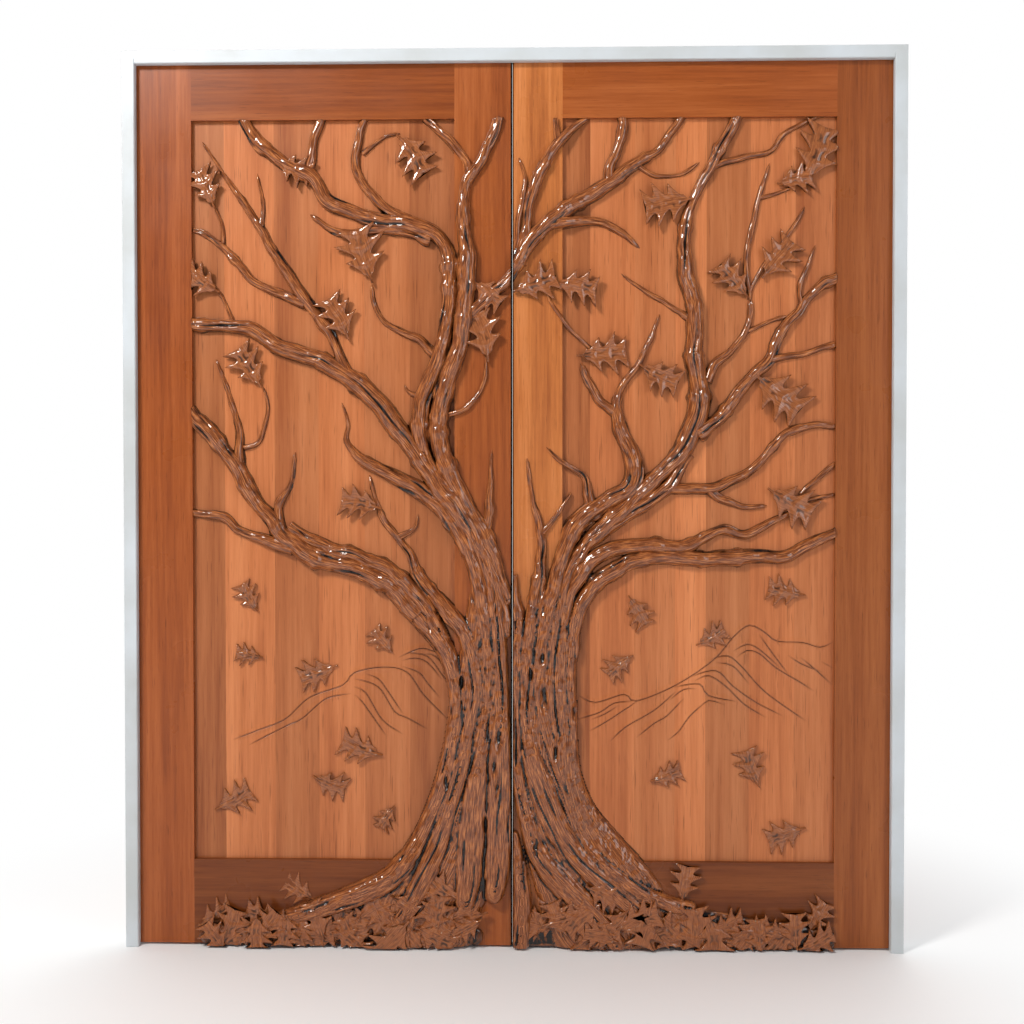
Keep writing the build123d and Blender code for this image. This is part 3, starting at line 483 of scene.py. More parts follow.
RIGHT_STRANDS = [
    # strands that rise from the roots through the trunk into the limbs
    [(18, -12, 22), (24, 100, 25), (16, 190, 20), (4, 270, 12)],
    [(252, 12, 26), (200, 78, 32), (128, 148, 38), (70, 215, 30), (38, 300, 24), (14, 420, 19), (6, 560, 18),
     (8, 700, 20), (12, 790, 17), (2, 900, 12)],
    [(335, 58, 24), (262, 122, 30), (185, 188, 30), (120, 270, 36), (82, 360, 40), (48, 460, 28),
     (33, 570, 20), (34, 700, 20), (52, 820, 19), (68, 920, 17), (70, 995, 13), (50, 1075, 8),
     (35, 1180, 4)],
    [(402, 92, 20), (305, 136, 26), (214, 206, 22), (160, 270, 19), (130, 365, 18), (95, 470, 20),
     (68, 600, 20), (72, 740, 22), (104, 880, 21), (150, 1015, 23), (235, 1080, 23), (288, 1118, 24),
     (286, 1190, 22), (254, 1270, 16), (256, 1340, 11), (300, 1402, 9), (330, 1460, 6), (355, 1528, 3)],
    [(430, 98, 15), (320, 126, 20), (220, 205, 16), (166, 285, 15), (148, 380, 16), (116, 490, 17),
     (104, 620, 18), (112, 780, 18), (142, 920, 19), (235, 1028, 22), (335, 1120, 22), (405, 1198, 24),
     (448, 1300, 27), (438, 1420, 24), (436, 1530, 21), (416, 1640, 20), (412, 1730, 16), (434, 1800, 12),
     (476, 1882, 13), (508, 1935, 14), (538, 2002, 14)],
    [(168, 335, 13), (150, 450, 12), (143, 560, 14), (142, 700, 15), (165, 828, 20), (245, 912, 22),
     (355, 941, 20), (475, 938, 22), (590, 946, 18), (650, 942, 16), (715, 972, 15), (782, 1003, 14)],
    [(122, 760, 14), (140, 860, 18), (205, 945, 22), (300, 968, 21), (405, 967, 18), (465, 992, 14),
     (508, 1008, 12), (560, 1000, 12), (620, 1022, 11), (672, 1050, 7)],
    [(150, 940, 16), (200, 990, 19), (290, 1058, 20), (370, 1105, 18), (425, 1190, 14)],
    # limbs
    [(285, 1055, 14), (350, 1098, 15), (430, 1108, 14), (490, 1112, 13), (560, 1145, 12), (605, 1180, 11),
     (655, 1238, 10), (715, 1258, 9), (782, 1255, 8)],
    [(468, 1108, 12), (500, 1084, 10), (550, 1065, 8), (612, 1064, 6)],
    [(442, 1240, 20), (500, 1278, 18), (552, 1350, 16), (610, 1408, 15), (642, 1475, 14), (695, 1545, 13),
     (740, 1592, 13), (782, 1612, 13)],
    [(620, 1416, 10), (665, 1428, 9), (705, 1434, 8), (782, 1455, 8)],
    [(464, 1365, 14), (486, 1405, 12), (528, 1440, 10), (566, 1500, 8), (570, 1565, 5)],
    [(-18, 1596, 18), (28, 1680, 19), (98, 1752, 18), (210, 1828, 17), (300, 1890, 14), (352, 1925, 11),
     (406, 2002, 11)],
    [(14, 1645, 16), (34, 1745, 14), (56, 1840, 16), (96, 1916, 13), (145, 1972, 10), (186, 2002, 9)],
    [(86, 1740, 14), (150, 1750, 14), (228, 1742, 11), (306, 1684, 5)],
    [(230, 1846, 15), (236, 1892, 13), (262, 1950, 12), (262, 2002, 13)],
    [(248, 1285, 13), (205, 1325, 12), (178, 1378, 11), (166, 1410, 8)],
    [(190, 1038, 16), (180, 1092, 14), (168, 1140, 9), (112, 1176, 6), (80, 1212, 3)],
    # twigs
    [(5, 1640, 9), (14, 1730, 9), (28, 1815, 8), (30, 1855, 6), (16, 1900, 4)],
    [(72, 1000, 9), (104, 1040, 8), (142, 1096, 3)],
    [(470, 1874, 9), (545, 1900, 8), (620, 1915, 7), (655, 1960, 7), (745, 2002, 5)],
    [(296, 1886, 8), (340, 1860, 6), (400, 1860, 5), (448, 1890, 3)],
    [(106, 1940, 8), (106, 2002, 8)],
    [(436, 1508, 9), (395, 1537, 8), (320, 1580, 6), (262, 1625, 3)],
    [(188, 1446, 6), (135, 1492, 6), (98, 1548, 5), (74, 1600, 4)],
    [(565, 1485, 6), (615, 1508, 5), (662, 1520, 5)],
    [(690, 1548, 8), (694, 1605, 6), (725, 1690, 3)],
    [(569, 1560, 6), (560, 1645, 7), (574, 1730, 7), (590, 1800, 6), (616, 1886, 3)],
    [(590, 1802, 6), (632, 1812, 5), (668, 1830, 4)],
    [(566, 1575, 5), (604, 1640, 6), (672, 1732, 5), (700, 1782, 3)],
    [(692, 1092, 6), (735, 1135, 6), (782, 1172, 6)],
    [(700, 1078, 5), (782, 1094, 5)],
]
RIGHT_CORE = [(225, 84, 150), (165, 190, 122), (112, 300, 96), (84, 430, 78), (74, 600, 66), (80, 700, 62),
    (88, 790, 56), (110, 880, 50), (140, 930, 40)]
RIGHT_LITTER = [(-12, 26, 30), (90, 40, 46), (200, 50, 54), (330, 54, 52), (460, 50, 44), (580, 34, 36),
    (690, 26, 30), (768, 20, 20)]


# hollows of lost branches: distance from the meeting edge, height, half width and half height
LEFT_KNOTS = [(196, 780, 9, 15), (158, 400, 6, 16), (32, 510, 7, 22), (42, 442, 6, 20), (34, 390, 6, 16),
    (120, 640, 5, 12), (64, 300, 5, 14)]
RIGHT_KNOTS = [(76, 600, 8, 24), (150, 570, 6, 16), (72, 700, 6, 14), (44, 660, 5, 12), (104, 470, 5, 16),
    (58, 250, 6, 20)]
TRUNK_STEP = 2.6
RIM_RELIEF = 8.0
CAVITY_SHADE_DEPTH = 3.2
KNEE = 25.0
KNEE_SLOPE = 0.6
TRUNK_TOP = 900.0
TRUNK_FADE = 90.0
LITTER_RELIEF = 11.0
LITTER_BANK_SHADE = 0.75
KNOT_DEPTH = 10.0
KNOT_RIM = 3.0
BARK_FIBRE = (420.0, 26.0, 1.0)
BARK_FIBRE_HEIGHT = 0.0009
BARK_COAT = 1.0
BARK_HAZE = 0.08
BARK_SPECULAR = 0.1
SHADE_AND_BLOTCH_FROM = 0.22
SHADE_AND_BLOTCH_FULL = 0.62
MERGE_DISTANCE = 0.00002


def raised(across, height, side):
    """How far the carving is raised where it climbs over the stile or the rail, in millimetres."""
    over_stile = (MEETING_STILES[side] + RAMP - across) / RAMP
    over_rail = (BOTTOM_RAIL + RAMP - height) / RAMP
    return PANEL_RECESS * min(1.0, max(0.0, over_stile, over_rail))


def on_leaf(across, height, relief, side):
    """A point of the drawing on the real door, kept inside the field and off the other leaf."""
    y = PANEL_FRONT - relief * MM
    x = min(max(MEETING_X + across * (FIELD_X - MEETING_X) / DRAWN_WIDTH, CARVING_X), FIELD_X)
    z = min(max(FLOOR_GAP + height * MM, FLOOR_GAP), FIELD_TOP)
    return (x if side == "right" else -x, y, z)


def carved_piece(name, side, shells, material):
    """One object from closed shells, each of rings of points with a painted shade amount and a place on the
    grain.
    """
    verts = []
    faces = []
    painted_shades = []
    grain = []
    for rings in shells:
        first = len(verts)
        count = len(rings[0])
        for ring in rings:
            for across, height, relief, painted_shade, u, v in ring:
                verts.append(on_leaf(across, height, min(relief, MOST_RELIEF), side))
                painted_shades.append(painted_shade)
                grain.append((u, v))
        for k in range(len(rings) - 1):
            for j in range(count):
                n = (j + 1) % count
                a = first + k * count
                face = (a + j, a + n, a + count + n, a + count + j)
                faces.append(face if side == "left" else face[::-1])
        start = tuple(range(first, first + count))
        last = first + (len(rings) - 1) * count
        end = tuple(range(last, last + count))
        faces.append(start[::-1] if side == "left" else start)
        faces.append(end if side == "left" else end[::-1])
    return carved_mesh(name, verts, faces, painted_shades, grain, material)


def carved_mesh(name, verts, faces, painted_shades, grain, material):
    """A smooth object whose points carry a painted shade amount and a place on the grain."""
    mesh = bpy.data.meshes.new(name)
    mesh.from_pydata(verts, [], faces)
    painted_shade_layer = mesh.attributes.new("painted_shade", "FLOAT", "POINT")
    painted_shade_layer.data.foreach_set("value", painted_shades)
    uv = mesh.uv_layers.new(name="grain")
    flat = []
    for loop in mesh.loops:
        flat.extend(grain[loop.vertex_index])
    uv.data.foreach_set("uv", flat)
    mesh.polygons.foreach_set("use_smooth", [True] * len(mesh.polygons))
    mesh.materials.append(material)
    mesh.update()
    piece = bpy.data.objects.new(name, mesh)
    scene.collection.objects.link(piece)
    return piece


def bark_groove(place, run, number):
    """How deep the bark is grooved here, from 0 to 1: narrow furrows along the strand that come and go."""
    wander = GROOVE_WANDER * noise.noise((run / 110.0, place / 60.0, number * 2.3))
    cycle = (place + wander) / BARK_GROOVE_PITCH + number * 0.37
    off_line = (cycle - math.floor(cycle) - 0.5) * BARK_GROOVE_PITCH / BARK_GROOVE_HALF_WIDTH
    presence = 0.35 + 1.3 * noise.noise((run / 75.0, math.floor(cycle) * 3.7, number * 1.3))
    return math.exp(-off_line ** 2) * min(1.0, max(0.0, presence))


def bark_lumps(across, height, number):
    """Tool marks, burrs and swellings of the bark, in millimetres."""
    broad = noise.noise((across / 30.0, height / 55.0, number * 1.9))
    small = noise.noise((across / 9.0, height / 18.0, number * 3.3))
    fine = noise.noise((across / 4.6, height / 8.0, 7.7))
    return BROAD_LUMP * broad + SMALL_LUMP * small + fine


def strand(points, side, number):
    """Rings of one limb or twig: a gnarled ridge with furrows that run along it."""
    stations = smooth_line(points, STATION_STEP)
    widest = max(point[2] for point in points)
    columns = max(7, 2 * round(widest / ACROSS_STEP) + 1)
    rings = []
    run = 0.0
    total = sum(math.dist(a[:2], b[:2]) for a, b in zip(stations, stations[1:]))
    for k, (across, height, half) in enumerate(stations):
        before = stations[max(k - 1, 0)]
        after = stations[min(k + 1, len(stations) - 1)]
        span = math.dist(before[:2], after[:2])
        if k:
            run += math.dist(stations[k - 1][:2], (across, height))
        side_u = (before[1] - after[1]) / span
        side_v = (after[0] - before[0]) / span
        lump = noise.noise((run / SWELLING_LENGTH, number * 3.1, 0.5))
        knot = max(0.0, noise.noise((run / KNOT_LENGTH, number * 1.7, 4.5)) - 0.12)
        bend = noise.noise((run / BEND_LENGTH, number * 4.9, 8.5)) * min(MOST_BEND, 0.30 * half + 1.5)
        end_taper = min(1.0, (total - run) / TIP_LENGTH + 0.25) if points[-1][2] <= TIP_HALF_WIDTH else 1.0
        width = half * (1.0 + 0.20 * lump + 0.55 * knot) * end_taper
        high = min(THICKEST_RELIEF, max(THINNEST_RELIEF, RELIEF_PER_HALF_WIDTH * half))
        high *= (1.0 + 0.14 * lump + 0.30 * knot) * end_taper
        lift = raised(across, height, side)
        ring = []
        for c in range(columns):
            s = 2.0 * c / (columns - 1) - 1.0
            place = s * width
            u = across + (place + bend) * side_u
            v = height + (place + bend) * side_v
            shoulder = min(1.0, (1.0 - abs(s)) * 4.0)
            furrow = bark_groove(place, run, number) * min(1.0, widest / 16.0) * shoulder
            size = min(1.0, widest / 20.0) * shoulder
            relief = lift + high * (1.0 - abs(s) ** FLAT_TOP) ** STEEP_SIDE - BARK_GROOVE_DEPTH * furrow
            relief += size * bark_lumps(u, v, number)
            if c in (0, columns - 1):
                relief = -BURIED
            worn = 0.12 * size * noise.noise((u / 11.0, v / 17.0, number * 3.3))
            # painted shade in the furrows and along the strand's sides where it meets the panel, eased in
            # places by random wear
            painted_shade = max(0.0, furrow + CREASE_SHADE * (1.0 - shoulder) - worn)
            ring.append((u, v, relief, painted_shade, place * MM + number * GRAIN_U, run * MM + number * GRAIN_V))
        rings.append(ring)
    return rings


def trunk_relief(strands, core, litter):
    """Heights of the trunk, roots and litter bank on a grid, with the strand that each point belongs to."""
    across = np.arange(-TRUNK_STEP, DRAWN_WIDTH + 2 * TRUNK_STEP, TRUNK_STEP)
    height = np.arange(-TRUNK_STEP, TRUNK_TOP + TRUNK_STEP, TRUNK_STEP)
    u, v = np.meshgrid(across, height)
    relief = np.full(u.shape, -1.0)
    place = np.zeros(u.shape)
    run = np.zeros(u.shape)
    owner = np.full(u.shape, -1)
    bodies = [(points, THICKEST_RELIEF, 3.4) for points in strands]
    bodies += [(core, CORE_RELIEF, 6.0), (litter, LITTER_RELIEF, 2.2)]
    for number, (points, most, squareness) in enumerate(bodies):
        done = 0.0
        stations = smooth_line(points, 3 * STATION_STEP)
        for (u0, v0, w0), (u1, v1, w1) in zip(stations, stations[1:]):
            length = math.dist((u0, v0), (u1, v1))
            t = np.clip(((u - u0) * (u1 - u0) + (v - v0) * (v1 - v0)) / length ** 2, 0.0, 1.0)
            width = w0 + (w1 - w0) * t
            distance = np.hypot(u - u0 - t * (u1 - u0), v - v0 - t * (v1 - v0))
            s = np.minimum(distance / width, 1.0)
            high = np.minimum(most, RELIEF_PER_HALF_WIDTH * width)
            ridge = np.where(s < 1.0, high * (1.0 - s ** squareness) ** 0.6, -1.0)
            better = ridge > relief
            relief = np.where(better, ridge, relief)
            sign = np.sign((v - v0) * (u1 - u0) - (u - u0) * (v1 - v0))
            place = np.where(better, distance * sign, place)
            run = np.where(better, done + t * length, run)
            owner = np.where(better, number, owner)
            done += length
    return u, v, relief, place, run, owner


def knot_depth(u, v, knots):
    """Hollows with a raised rim where a branch has come away."""
    depth = np.zeros(u.shape)
    for knot_u, knot_v, wide, tall in knots:
        distance = np.hypot((u - knot_u) / wide, (v - knot_v) / tall)
        depth += KNOT_DEPTH * np.exp(-distance ** 2) - KNOT_RIM * np.exp(-((distance - 1.7) / 0.5) ** 2)
    return depth


def trunk_piece(name, side, field, knots, material):
    """The trunk as one closed object: the grid's front, and a back that lies just inside the panel."""
    u, v, ridge, place, run, owner = field
    inside = ridge > 0.0
    last_strand = owner.max() - 2
    inside[0, :] = False
    inside[:, 0] = False
    inside[:, -1] = False
    hollows = knot_depth(u, v, knots)
    surface = np.full(u.shape, -BURIED)
    furrow_and_bank_shade = np.zeros(u.shape)
    for i, j in zip(*np.nonzero(inside)):
        number = int(owner[i, j])
        furrow = bark_groove(place[i, j], run[i, j], number) if number <= last_strand else 0.0
        rim = min(1.0, ridge[i, j] / RIM_RELIEF)
        bark = bark_lumps(u[i, j], v[i, j], number) - BARK_GROOVE_DEPTH * furrow - hollows[i, j]
        fade = min(1.0, max(0.0, (v[i, j] - TRUNK_TOP + TRUNK_FADE) / TRUNK_FADE)) ** 2
        top = ridge[i, j] + rim * bark
        top = min(top, KNEE + (top - KNEE) * KNEE_SLOPE) - fade * (THICKEST_RELIEF + 4.0)
        surface[i, j] = raised(u[i, j], v[i, j], side) + top if top > 0.0 else -BURIED
        inside[i, j] = top > 0.0
        # the litter bank gets an even painted shade, dark between its leaves
        furrow_and_bank_shade[i, j] = furrow * rim if number <= last_strand + 1 else LITTER_BANK_SHADE
    # painted shade from a cavity map: darker where the surface lies below its blurred surroundings, lighter on
    # ridges
    around = surface.copy()
    for axis in (0, 1):
        around = (np.roll(around, 3, axis) + np.roll(around, 1, axis) + around + np.roll(around, -1, axis)
                  + np.roll(around, -3, axis)) / 5.0
    cavity_shade = np.clip((around - surface) / CAVITY_SHADE_DEPTH, -0.25, 1.0)
    painted_shade = np.clip(CREASE_SHADE * furrow_and_bank_shade + cavity_shade, 0.0, 1.0)

    corner = inside[:-1, :-1] | inside[1:, :-1] | inside[:-1, 1:] | inside[1:, 1:]
    verts = []
    painted_shades = []
    grain = []
    front = {}
    back = {}
    faces = []
    for i, j in zip(*np.nonzero(corner)):
        for key in ((i, j), (i, j + 1), (i + 1, j + 1), (i + 1, j)):
            if key in front:
                continue
            for sheet, relief in ((front, surface[key]), (back, -BURIED)):
                if sheet is back and not inside[key]:
                    back[key] = front[key]
                    continue
                sheet[key] = len(verts)
                verts.append(on_leaf(u[key], v[key], min(relief, MOST_RELIEF), side))
                painted_shades.append(painted_shade[key])
                grain.append((place[key] * MM + owner[key] * GRAIN_U, run[key] * MM + owner[key] * GRAIN_V))
        loop = ((i, j), (i, j + 1), (i + 1, j + 1), (i + 1, j))
        outer = tuple(front[key] for key in loop)
        inner = tuple(back[key] for key in loop[::-1])
        for face in (outer, inner):
            faces.append(face if side == "right" else face[::-1])
    piece = carved_mesh(name, verts, faces, painted_shades, grain, material)
    bpy.ops.object.select_all(action="DESELECT")
    bpy.context.view_layer.objects.active = piece
    piece.select_set(True)
    bpy.ops.object.mode_set(mode="EDIT")
    bpy.ops.mesh.select_mode(type="FACE")
    bpy.ops.mesh.select_all(action="SELECT")
    bpy.ops.mesh.remove_doubles(threshold=MERGE_DISTANCE)
    bpy.ops.mesh.dissolve_degenerate(threshold=MERGE_DISTANCE)
    bpy.ops.mesh.select_all(action="DESELECT")
    bpy.ops.object.mode_set(mode="OBJECT")
    for face in piece.data.polygons:
        face.select = face.normal.y > 0.99 and face.center.y > PANEL_FRONT
    bpy.ops.object.mode_set(mode="EDIT")
    bpy.ops.mesh.dissolve_limited(angle_limit=math.radians(1.0))
    bpy.ops.object.mode_set(mode="OBJECT")
    return piece, surface


def bark_material(name, painted_shade_colour, dark, mid, light):
    """Glossy varnished carving: fibres along each strand, near-black painted shade in the grooves and hollows
    that leaves the ridges lighter, and random dark blotches.
    """
    material, tree, shader = new_material(name)
    along = shader_node(tree, "UVMap", {}, uv_map="grain").outputs["UV"]
    stretched = shader_node(tree, "Mapping", {"Vector": along}, {"Scale": BARK_FIBRE}).outputs["Vector"]
    fibres = noise_over(tree, stretched, 1.0, 6.0, roughness=0.62)
    tone = toned(tree, fibres, (0.36, dark), (0.50, mid), (0.64, light))
    painted_shade = shader_node(tree, "Attribute", {}, attribute_name="painted_shade").outputs["Fac"]
    place = shader_node(tree, "TexCoord", {}).outputs["Object"]
    blotch = noise_over(tree, place, 26.0, 4.0)
    uneven = mapped(tree, blotch, 0.35, 0.65, -0.22, 0.18)
    # painted shade on the faces in the gap between the leaves, added to the bark's shade amount
    gap_shade = gap_shade_mask(tree)
    # painted shade from the points and the gap, with random blotches, mixes the tone towards near-black
    shade_and_blotches = calculated(tree, "ADD", calculated(tree, "ADD", painted_shade, uneven), gap_shade)
    toned_and_shaded = mixed_colour(tree, mapped(tree, shade_and_blotches, SHADE_AND_BLOTCH_FROM, SHADE_AND_BLOTCH_FULL, 0.0, 1.0), tone, painted_shade_colour)
    tree.links.new(toned_and_shaded, shader.inputs["Base Color"])
    tree.links.new(mapped(tree, blotch, 0.0, 1.0, 0.22, 0.42), shader.inputs["Roughness"])
    shader.inputs["Coat Roughness"].default_value = BARK_HAZE
    dull_where(tree, gap_shade, shader, BARK_COAT, BARK_SPECULAR)
    roughened(tree, shader, fibres, 0.5, BARK_FIBRE_HEIGHT)
    return material


bark = bark_material("bark", (0.005, 0.002, 0.001), (0.088, 0.022, 0.006), (0.255, 0.070, 0.018),
                     (0.560, 0.195, 0.058))
leaf_wood = bark_material("leaf_wood", (0.016, 0.006, 0.003), (0.190, 0.054, 0.016), (0.310, 0.094, 0.028),
                          (0.430, 0.145, 0.045))
surfaces = {}
for side, strands, core, litter, knots in (("left", LEFT_STRANDS, LEFT_CORE, LEFT_LITTER, LEFT_KNOTS),
                                           ("right", RIGHT_STRANDS, RIGHT_CORE, RIGHT_LITTER, RIGHT_KNOTS)):
    crown = []
    low_strands = []
    for number, points in enumerate(strands):
        if points[0][1] < TRUNK_TOP:
            low_strands.append(points)
        above = [k for k, point in enumerate(points) if point[1] > TRUNK_TOP - TRUNK_FADE]
        if above:
            crown.append(strand(points[max(0, above[0] - 1):], side, number))
    trunk, surfaces[side] = trunk_piece(f"{side}_trunk_carving", side,
                                        trunk_relief(low_strands, core, litter), knots, bark)
    for piece in (trunk, carved_piece(f"{side}_crown_carving", side, crown, bark)):
        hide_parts(f"{side}_tree_carving")
        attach(piece, f"{side}_leaf")

# The oak leaves: carved in wood, each with pointed lobes, a raised midrib, side veins and a curled edge. Those
# on the branches and in the litter are one with the tree, and the loose ones are glued to the boards.
# Each leaf carries painted shade that grows towards its edge, lies beside the midrib off the veins and fills
# its underside.
LEAF_SPREAD = 0.50
LEAF_EDGE = 4.5
BRANCH_LEAF_LIFT = 8.0
LOOSE_LEAF_LIFT = 0.0
LEAF_ROWS = 36
LEAF_COLUMNS = 13
LOBE_PAIRS = 3.0
LOBE_LEAN = 0.42
STALK_SHARE = 0.14
LEAF_CURL = 5.0
LEAF_CUP = 4.5
RIB_HEIGHT = 2.8
RIB_HALF_WIDTH = 2.2
VEIN_HEIGHT = 1.6
LEAF_CROWN = 2.5
LITTER_LEAVES = 24
LITTER_LEVELS = 4
LITTER_LEVEL_RISE = 3.0
LITTER_SEEDS = {"left": 5, "right": 11}
BARE_FOOT = 92.0

LEFT_ON_BRANCHES = [(738, 1828, 108, 65), (744, 1608, 104, 35), (530, 1880, 96, 200), (246, 1912, 126, 236),
    (355, 1664, 144, 73), (634, 1396, 118, 57), (420, 1512, 120, 60), (72, 1468, 132, 75),
    (362, 1066, 108, 10), (60, 1578, 92, 220)]
LEFT_IN_LITTER = [(514, 126, 92, 30), (726, 66, 100, 150), (606, 66, 92, 20), (470, 60, 104, 70),
    (330, 92, 112, 150), (160, 142, 104, 35), (182, 78, 106, 100), (104, 52, 84, 330), (262, 106, 80, 215)]
LEFT_LOOSE = [(636, 841, 84, 60), (637, 702, 72, 10), (468, 662, 104, 340), (312, 735, 78, 50),
    (362, 477, 112, 20), (446, 393, 94, 200), (683, 348, 106, 150), (301, 309, 70, 300)]
LEFT_LEAVES = (LEFT_ON_BRANCHES, LEFT_IN_LITTER, LEFT_LOOSE)
RIGHT_ON_BRANCHES = [(50, 1596, 120, 20), (148, 1590, 112, 350), (378, 1790, 128, 190), (722, 1902, 150, 70),
    (672, 1842, 92, 10), (532, 1602, 112, 130), (632, 1652, 122, 50), (212, 1432, 128, 5),
    (350, 1384, 112, 335), (632, 1338, 150, 320), (664, 1078, 132, 330)]
RIGHT_IN_LITTER = [(82, 72, 110, 60), (212, 132, 92, 330), (300, 68, 116, 20), (416, 152, 96, 80),
    (398, 72, 96, 300), (512, 56, 96, 20), (620, 44, 92, 160), (732, 74, 92, 60), (216, 52, 78, 280)]
RIGHT_LOOSE = [(300, 814, 88, 300), (661, 859, 96, 170), (476, 748, 84, 30), (262, 680, 84, 220),
    (368, 412, 84, 20), (580, 430, 100, 110), (664, 272, 104, 200)]
RIGHT_LEAVES = (RIGHT_ON_BRANCHES, RIGHT_IN_LITTER, RIGHT_LOOSE)


def oak_leaf(spot, ground, side, number):
    """Rings of one leaf from stalk to tip, closed under it, on wood that stands out as far as ground says."""
    across, height, length, heading = spot
    turn = math.radians(heading)
    along_u = math.cos(turn)
    along_v = math.sin(turn)
    half = length * LEAF_SPREAD
    twist = noise.noise((number * 1.9, 2.2, side == "left"))
    rings = []
    for k in range(LEAF_ROWS + 1):
        t = k / LEAF_ROWS
        blade = max(0.0, (t - STALK_SHARE) / (1.0 - STALK_SHARE))
        body = (0.62 + 0.75 * blade) * math.sqrt(max(0.0, 1.0 - blade ** 3.2))
        lobe = 1.0 - abs(math.sin(math.pi * (blade * LOBE_PAIRS + 0.30))) ** 0.8
        width = half * body * (0.32 + 0.68 * lobe) if blade else 0.0
        width = max(width, 0.022 * length)
        ring = []
        for c in range(LEAF_COLUMNS):
            s = 2.0 * c / (LEAF_COLUMNS - 1) - 1.0
            uneven = 1.0 + 0.22 * noise.noise((t * 5.0, 3.0 * (s > 0), number * 4.1))
            b = s * width * uneven
            a = (t - 0.5) * length * 0.92 + LOBE_LEAN * abs(b)
            b += 0.14 * length * twist * math.sin(math.pi * t)
            reach = abs(s) * width / half
            vein = abs(math.sin(math.pi * (blade * LOBE_PAIRS + 0.80))) ** 9
            curl = LEAF_CURL * noise.noise((t * 1.7 + number, s * 0.9, number * 2.7)) + LEAF_CUP * reach ** 2
            rib = RIB_HEIGHT * math.exp(-(s * width / RIB_HALF_WIDTH) ** 2)
            relief = ground + LEAF_EDGE + curl + rib + VEIN_HEIGHT * vein * (abs(s) < 0.85)
            relief += LEAF_CROWN * math.sin(math.pi * t)
            relief = max(relief, ground + 2.0)
            if c in (0, LEAF_COLUMNS - 1):
                relief -= 1.5
            # painted shade: darker towards the leaf's edge and in a band beside the midrib, none on the veins
            painted_shade = 0.40 * reach - 0.5 * vein + 0.35 * (0.15 < abs(s) < 0.4) * (1.0 - vein)
            u = across + a * along_u - b * along_v
            v = height + a * along_v + b * along_u
            ring.append((u, v, relief, max(0.0, painted_shade), (s * width) * MM + number, a * MM + number * 0.7))
        # the closing points under the leaf get full painted shade
        for c in (LEAF_COLUMNS - 1, 0):
            u, v, relief, painted_shade, grain_u, grain_v = ring[c]
            inward_u = across + (u - across) * 0.92
            inward_v = height + (v - height) * 0.92
            ring.append((inward_u, inward_v, max(-BURIED, ground - 3.0), 1.0, grain_u, grain_v))
        rings.append(ring)
    return rings


def litter_spots(side):
    """Places of the many small leaves in the litter, clear of the bare foot of the left meeting stile."""
    pick = random.Random(LITTER_SEEDS[side])
    spots = []
    start = BARE_FOOT if side == "left" else 30.0
    for k in range(LITTER_LEAVES):
        across = start + (DRAWN_WIDTH - 40.0 - start) * (k + pick.uniform(0.1, 0.9)) / LITTER_LEAVES
        bank = 92.0 - 0.075 * across
        height = pick.uniform(14.0, bank)
        spots.append((across, height, pick.uniform(88.0, 128.0), pick.uniform(0.0, 360.0)))
    return spots


def wood_below(side, across, height):
    """How far the trunk or the litter bank stands out here, from the grid that made it."""
    i = min(max(round(height / TRUNK_STEP) + 1, 0), surfaces[side].shape[0] - 1)
    j = min(max(round(across / TRUNK_STEP) + 1, 0), surfaces[side].shape[1] - 1)
    return max(float(surfaces[side][i, j]), raised(across, height, side))


for side, (on_branches, in_litter, loose) in (("left", LEFT_LEAVES), ("right", RIGHT_LEAVES)):
    shells = []
    for spot in on_branches:
        shells.append(oak_leaf(spot, raised(*spot[:2], side) + BRANCH_LEAF_LIFT, side, len(shells)))
    for k, spot in enumerate(litter_spots(side) + in_litter):
        level = wood_below(side, *spot[:2]) - LEAF_EDGE + LITTER_LEVEL_RISE * (k % LITTER_LEVELS)
        shells.append(oak_leaf(spot, level, side, len(shells)))
    loose_shells = [oak_leaf(spot, LOOSE_LEAF_LIFT, side, 60 + k) for k, spot in enumerate(loose)]
    for name, node, leaves in ((f"{side}_branch_leaves", f"{side}_tree_carving", shells),
                               (f"{side}_loose_leaves", f"{side}_falling_leaves", loose_shells)):
        piece = carved_piece(name, side, leaves, leaf_wood)
        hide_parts(node)
        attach(piece, f"{side}_leaf")

# The frame: two jambs and a head of softwood, rebated so that the leaves close against a stop, and joined at
# the upper corners. It is painted off-white with a brush and has no threshold.
FRAME_PAINT = (0.64, 0.69, 0.73)
SOILED = (0.86, 0.84, 0.80)
BRUSH_STROKES = (220.0, 220.0, 9.0)
STROKE_HEIGHT = 0.0004


def brushed_paint(name, colour):
    """Satin paint laid on with a brush: faint strokes along the wood and slight soiling."""
    material, tree, shader = new_material(name)
    place = shader_node(tree, "TexCoord", {}).outputs["Object"]
    stretched = shader_node(tree, "Mapping", {"Vector": place}, {"Scale": BRUSH_STROKES}).outputs["Vector"]
    strokes = noise_over(tree, stretched, 1.0, 3.0)
    soil = noise_over(tree, place, 5.0, 6.0)
    soiled = [channel * share for channel, share in zip(colour, SOILED)]
    tree.links.new(toned(tree, soil, (0.35, soiled), (0.62, colour)), shader.inputs["Base Color"])
    shader.inputs["Roughness"].default_value = 0.42
    roughened(tree, shader, strokes, 0.25, STROKE_HEIGHT)
    return material


frame_paint = brushed_paint("frame_paint", FRAME_PAINT)
for node in ("head", "left_jamb", "right_jamb"):
    repaint(node, frame_paint)

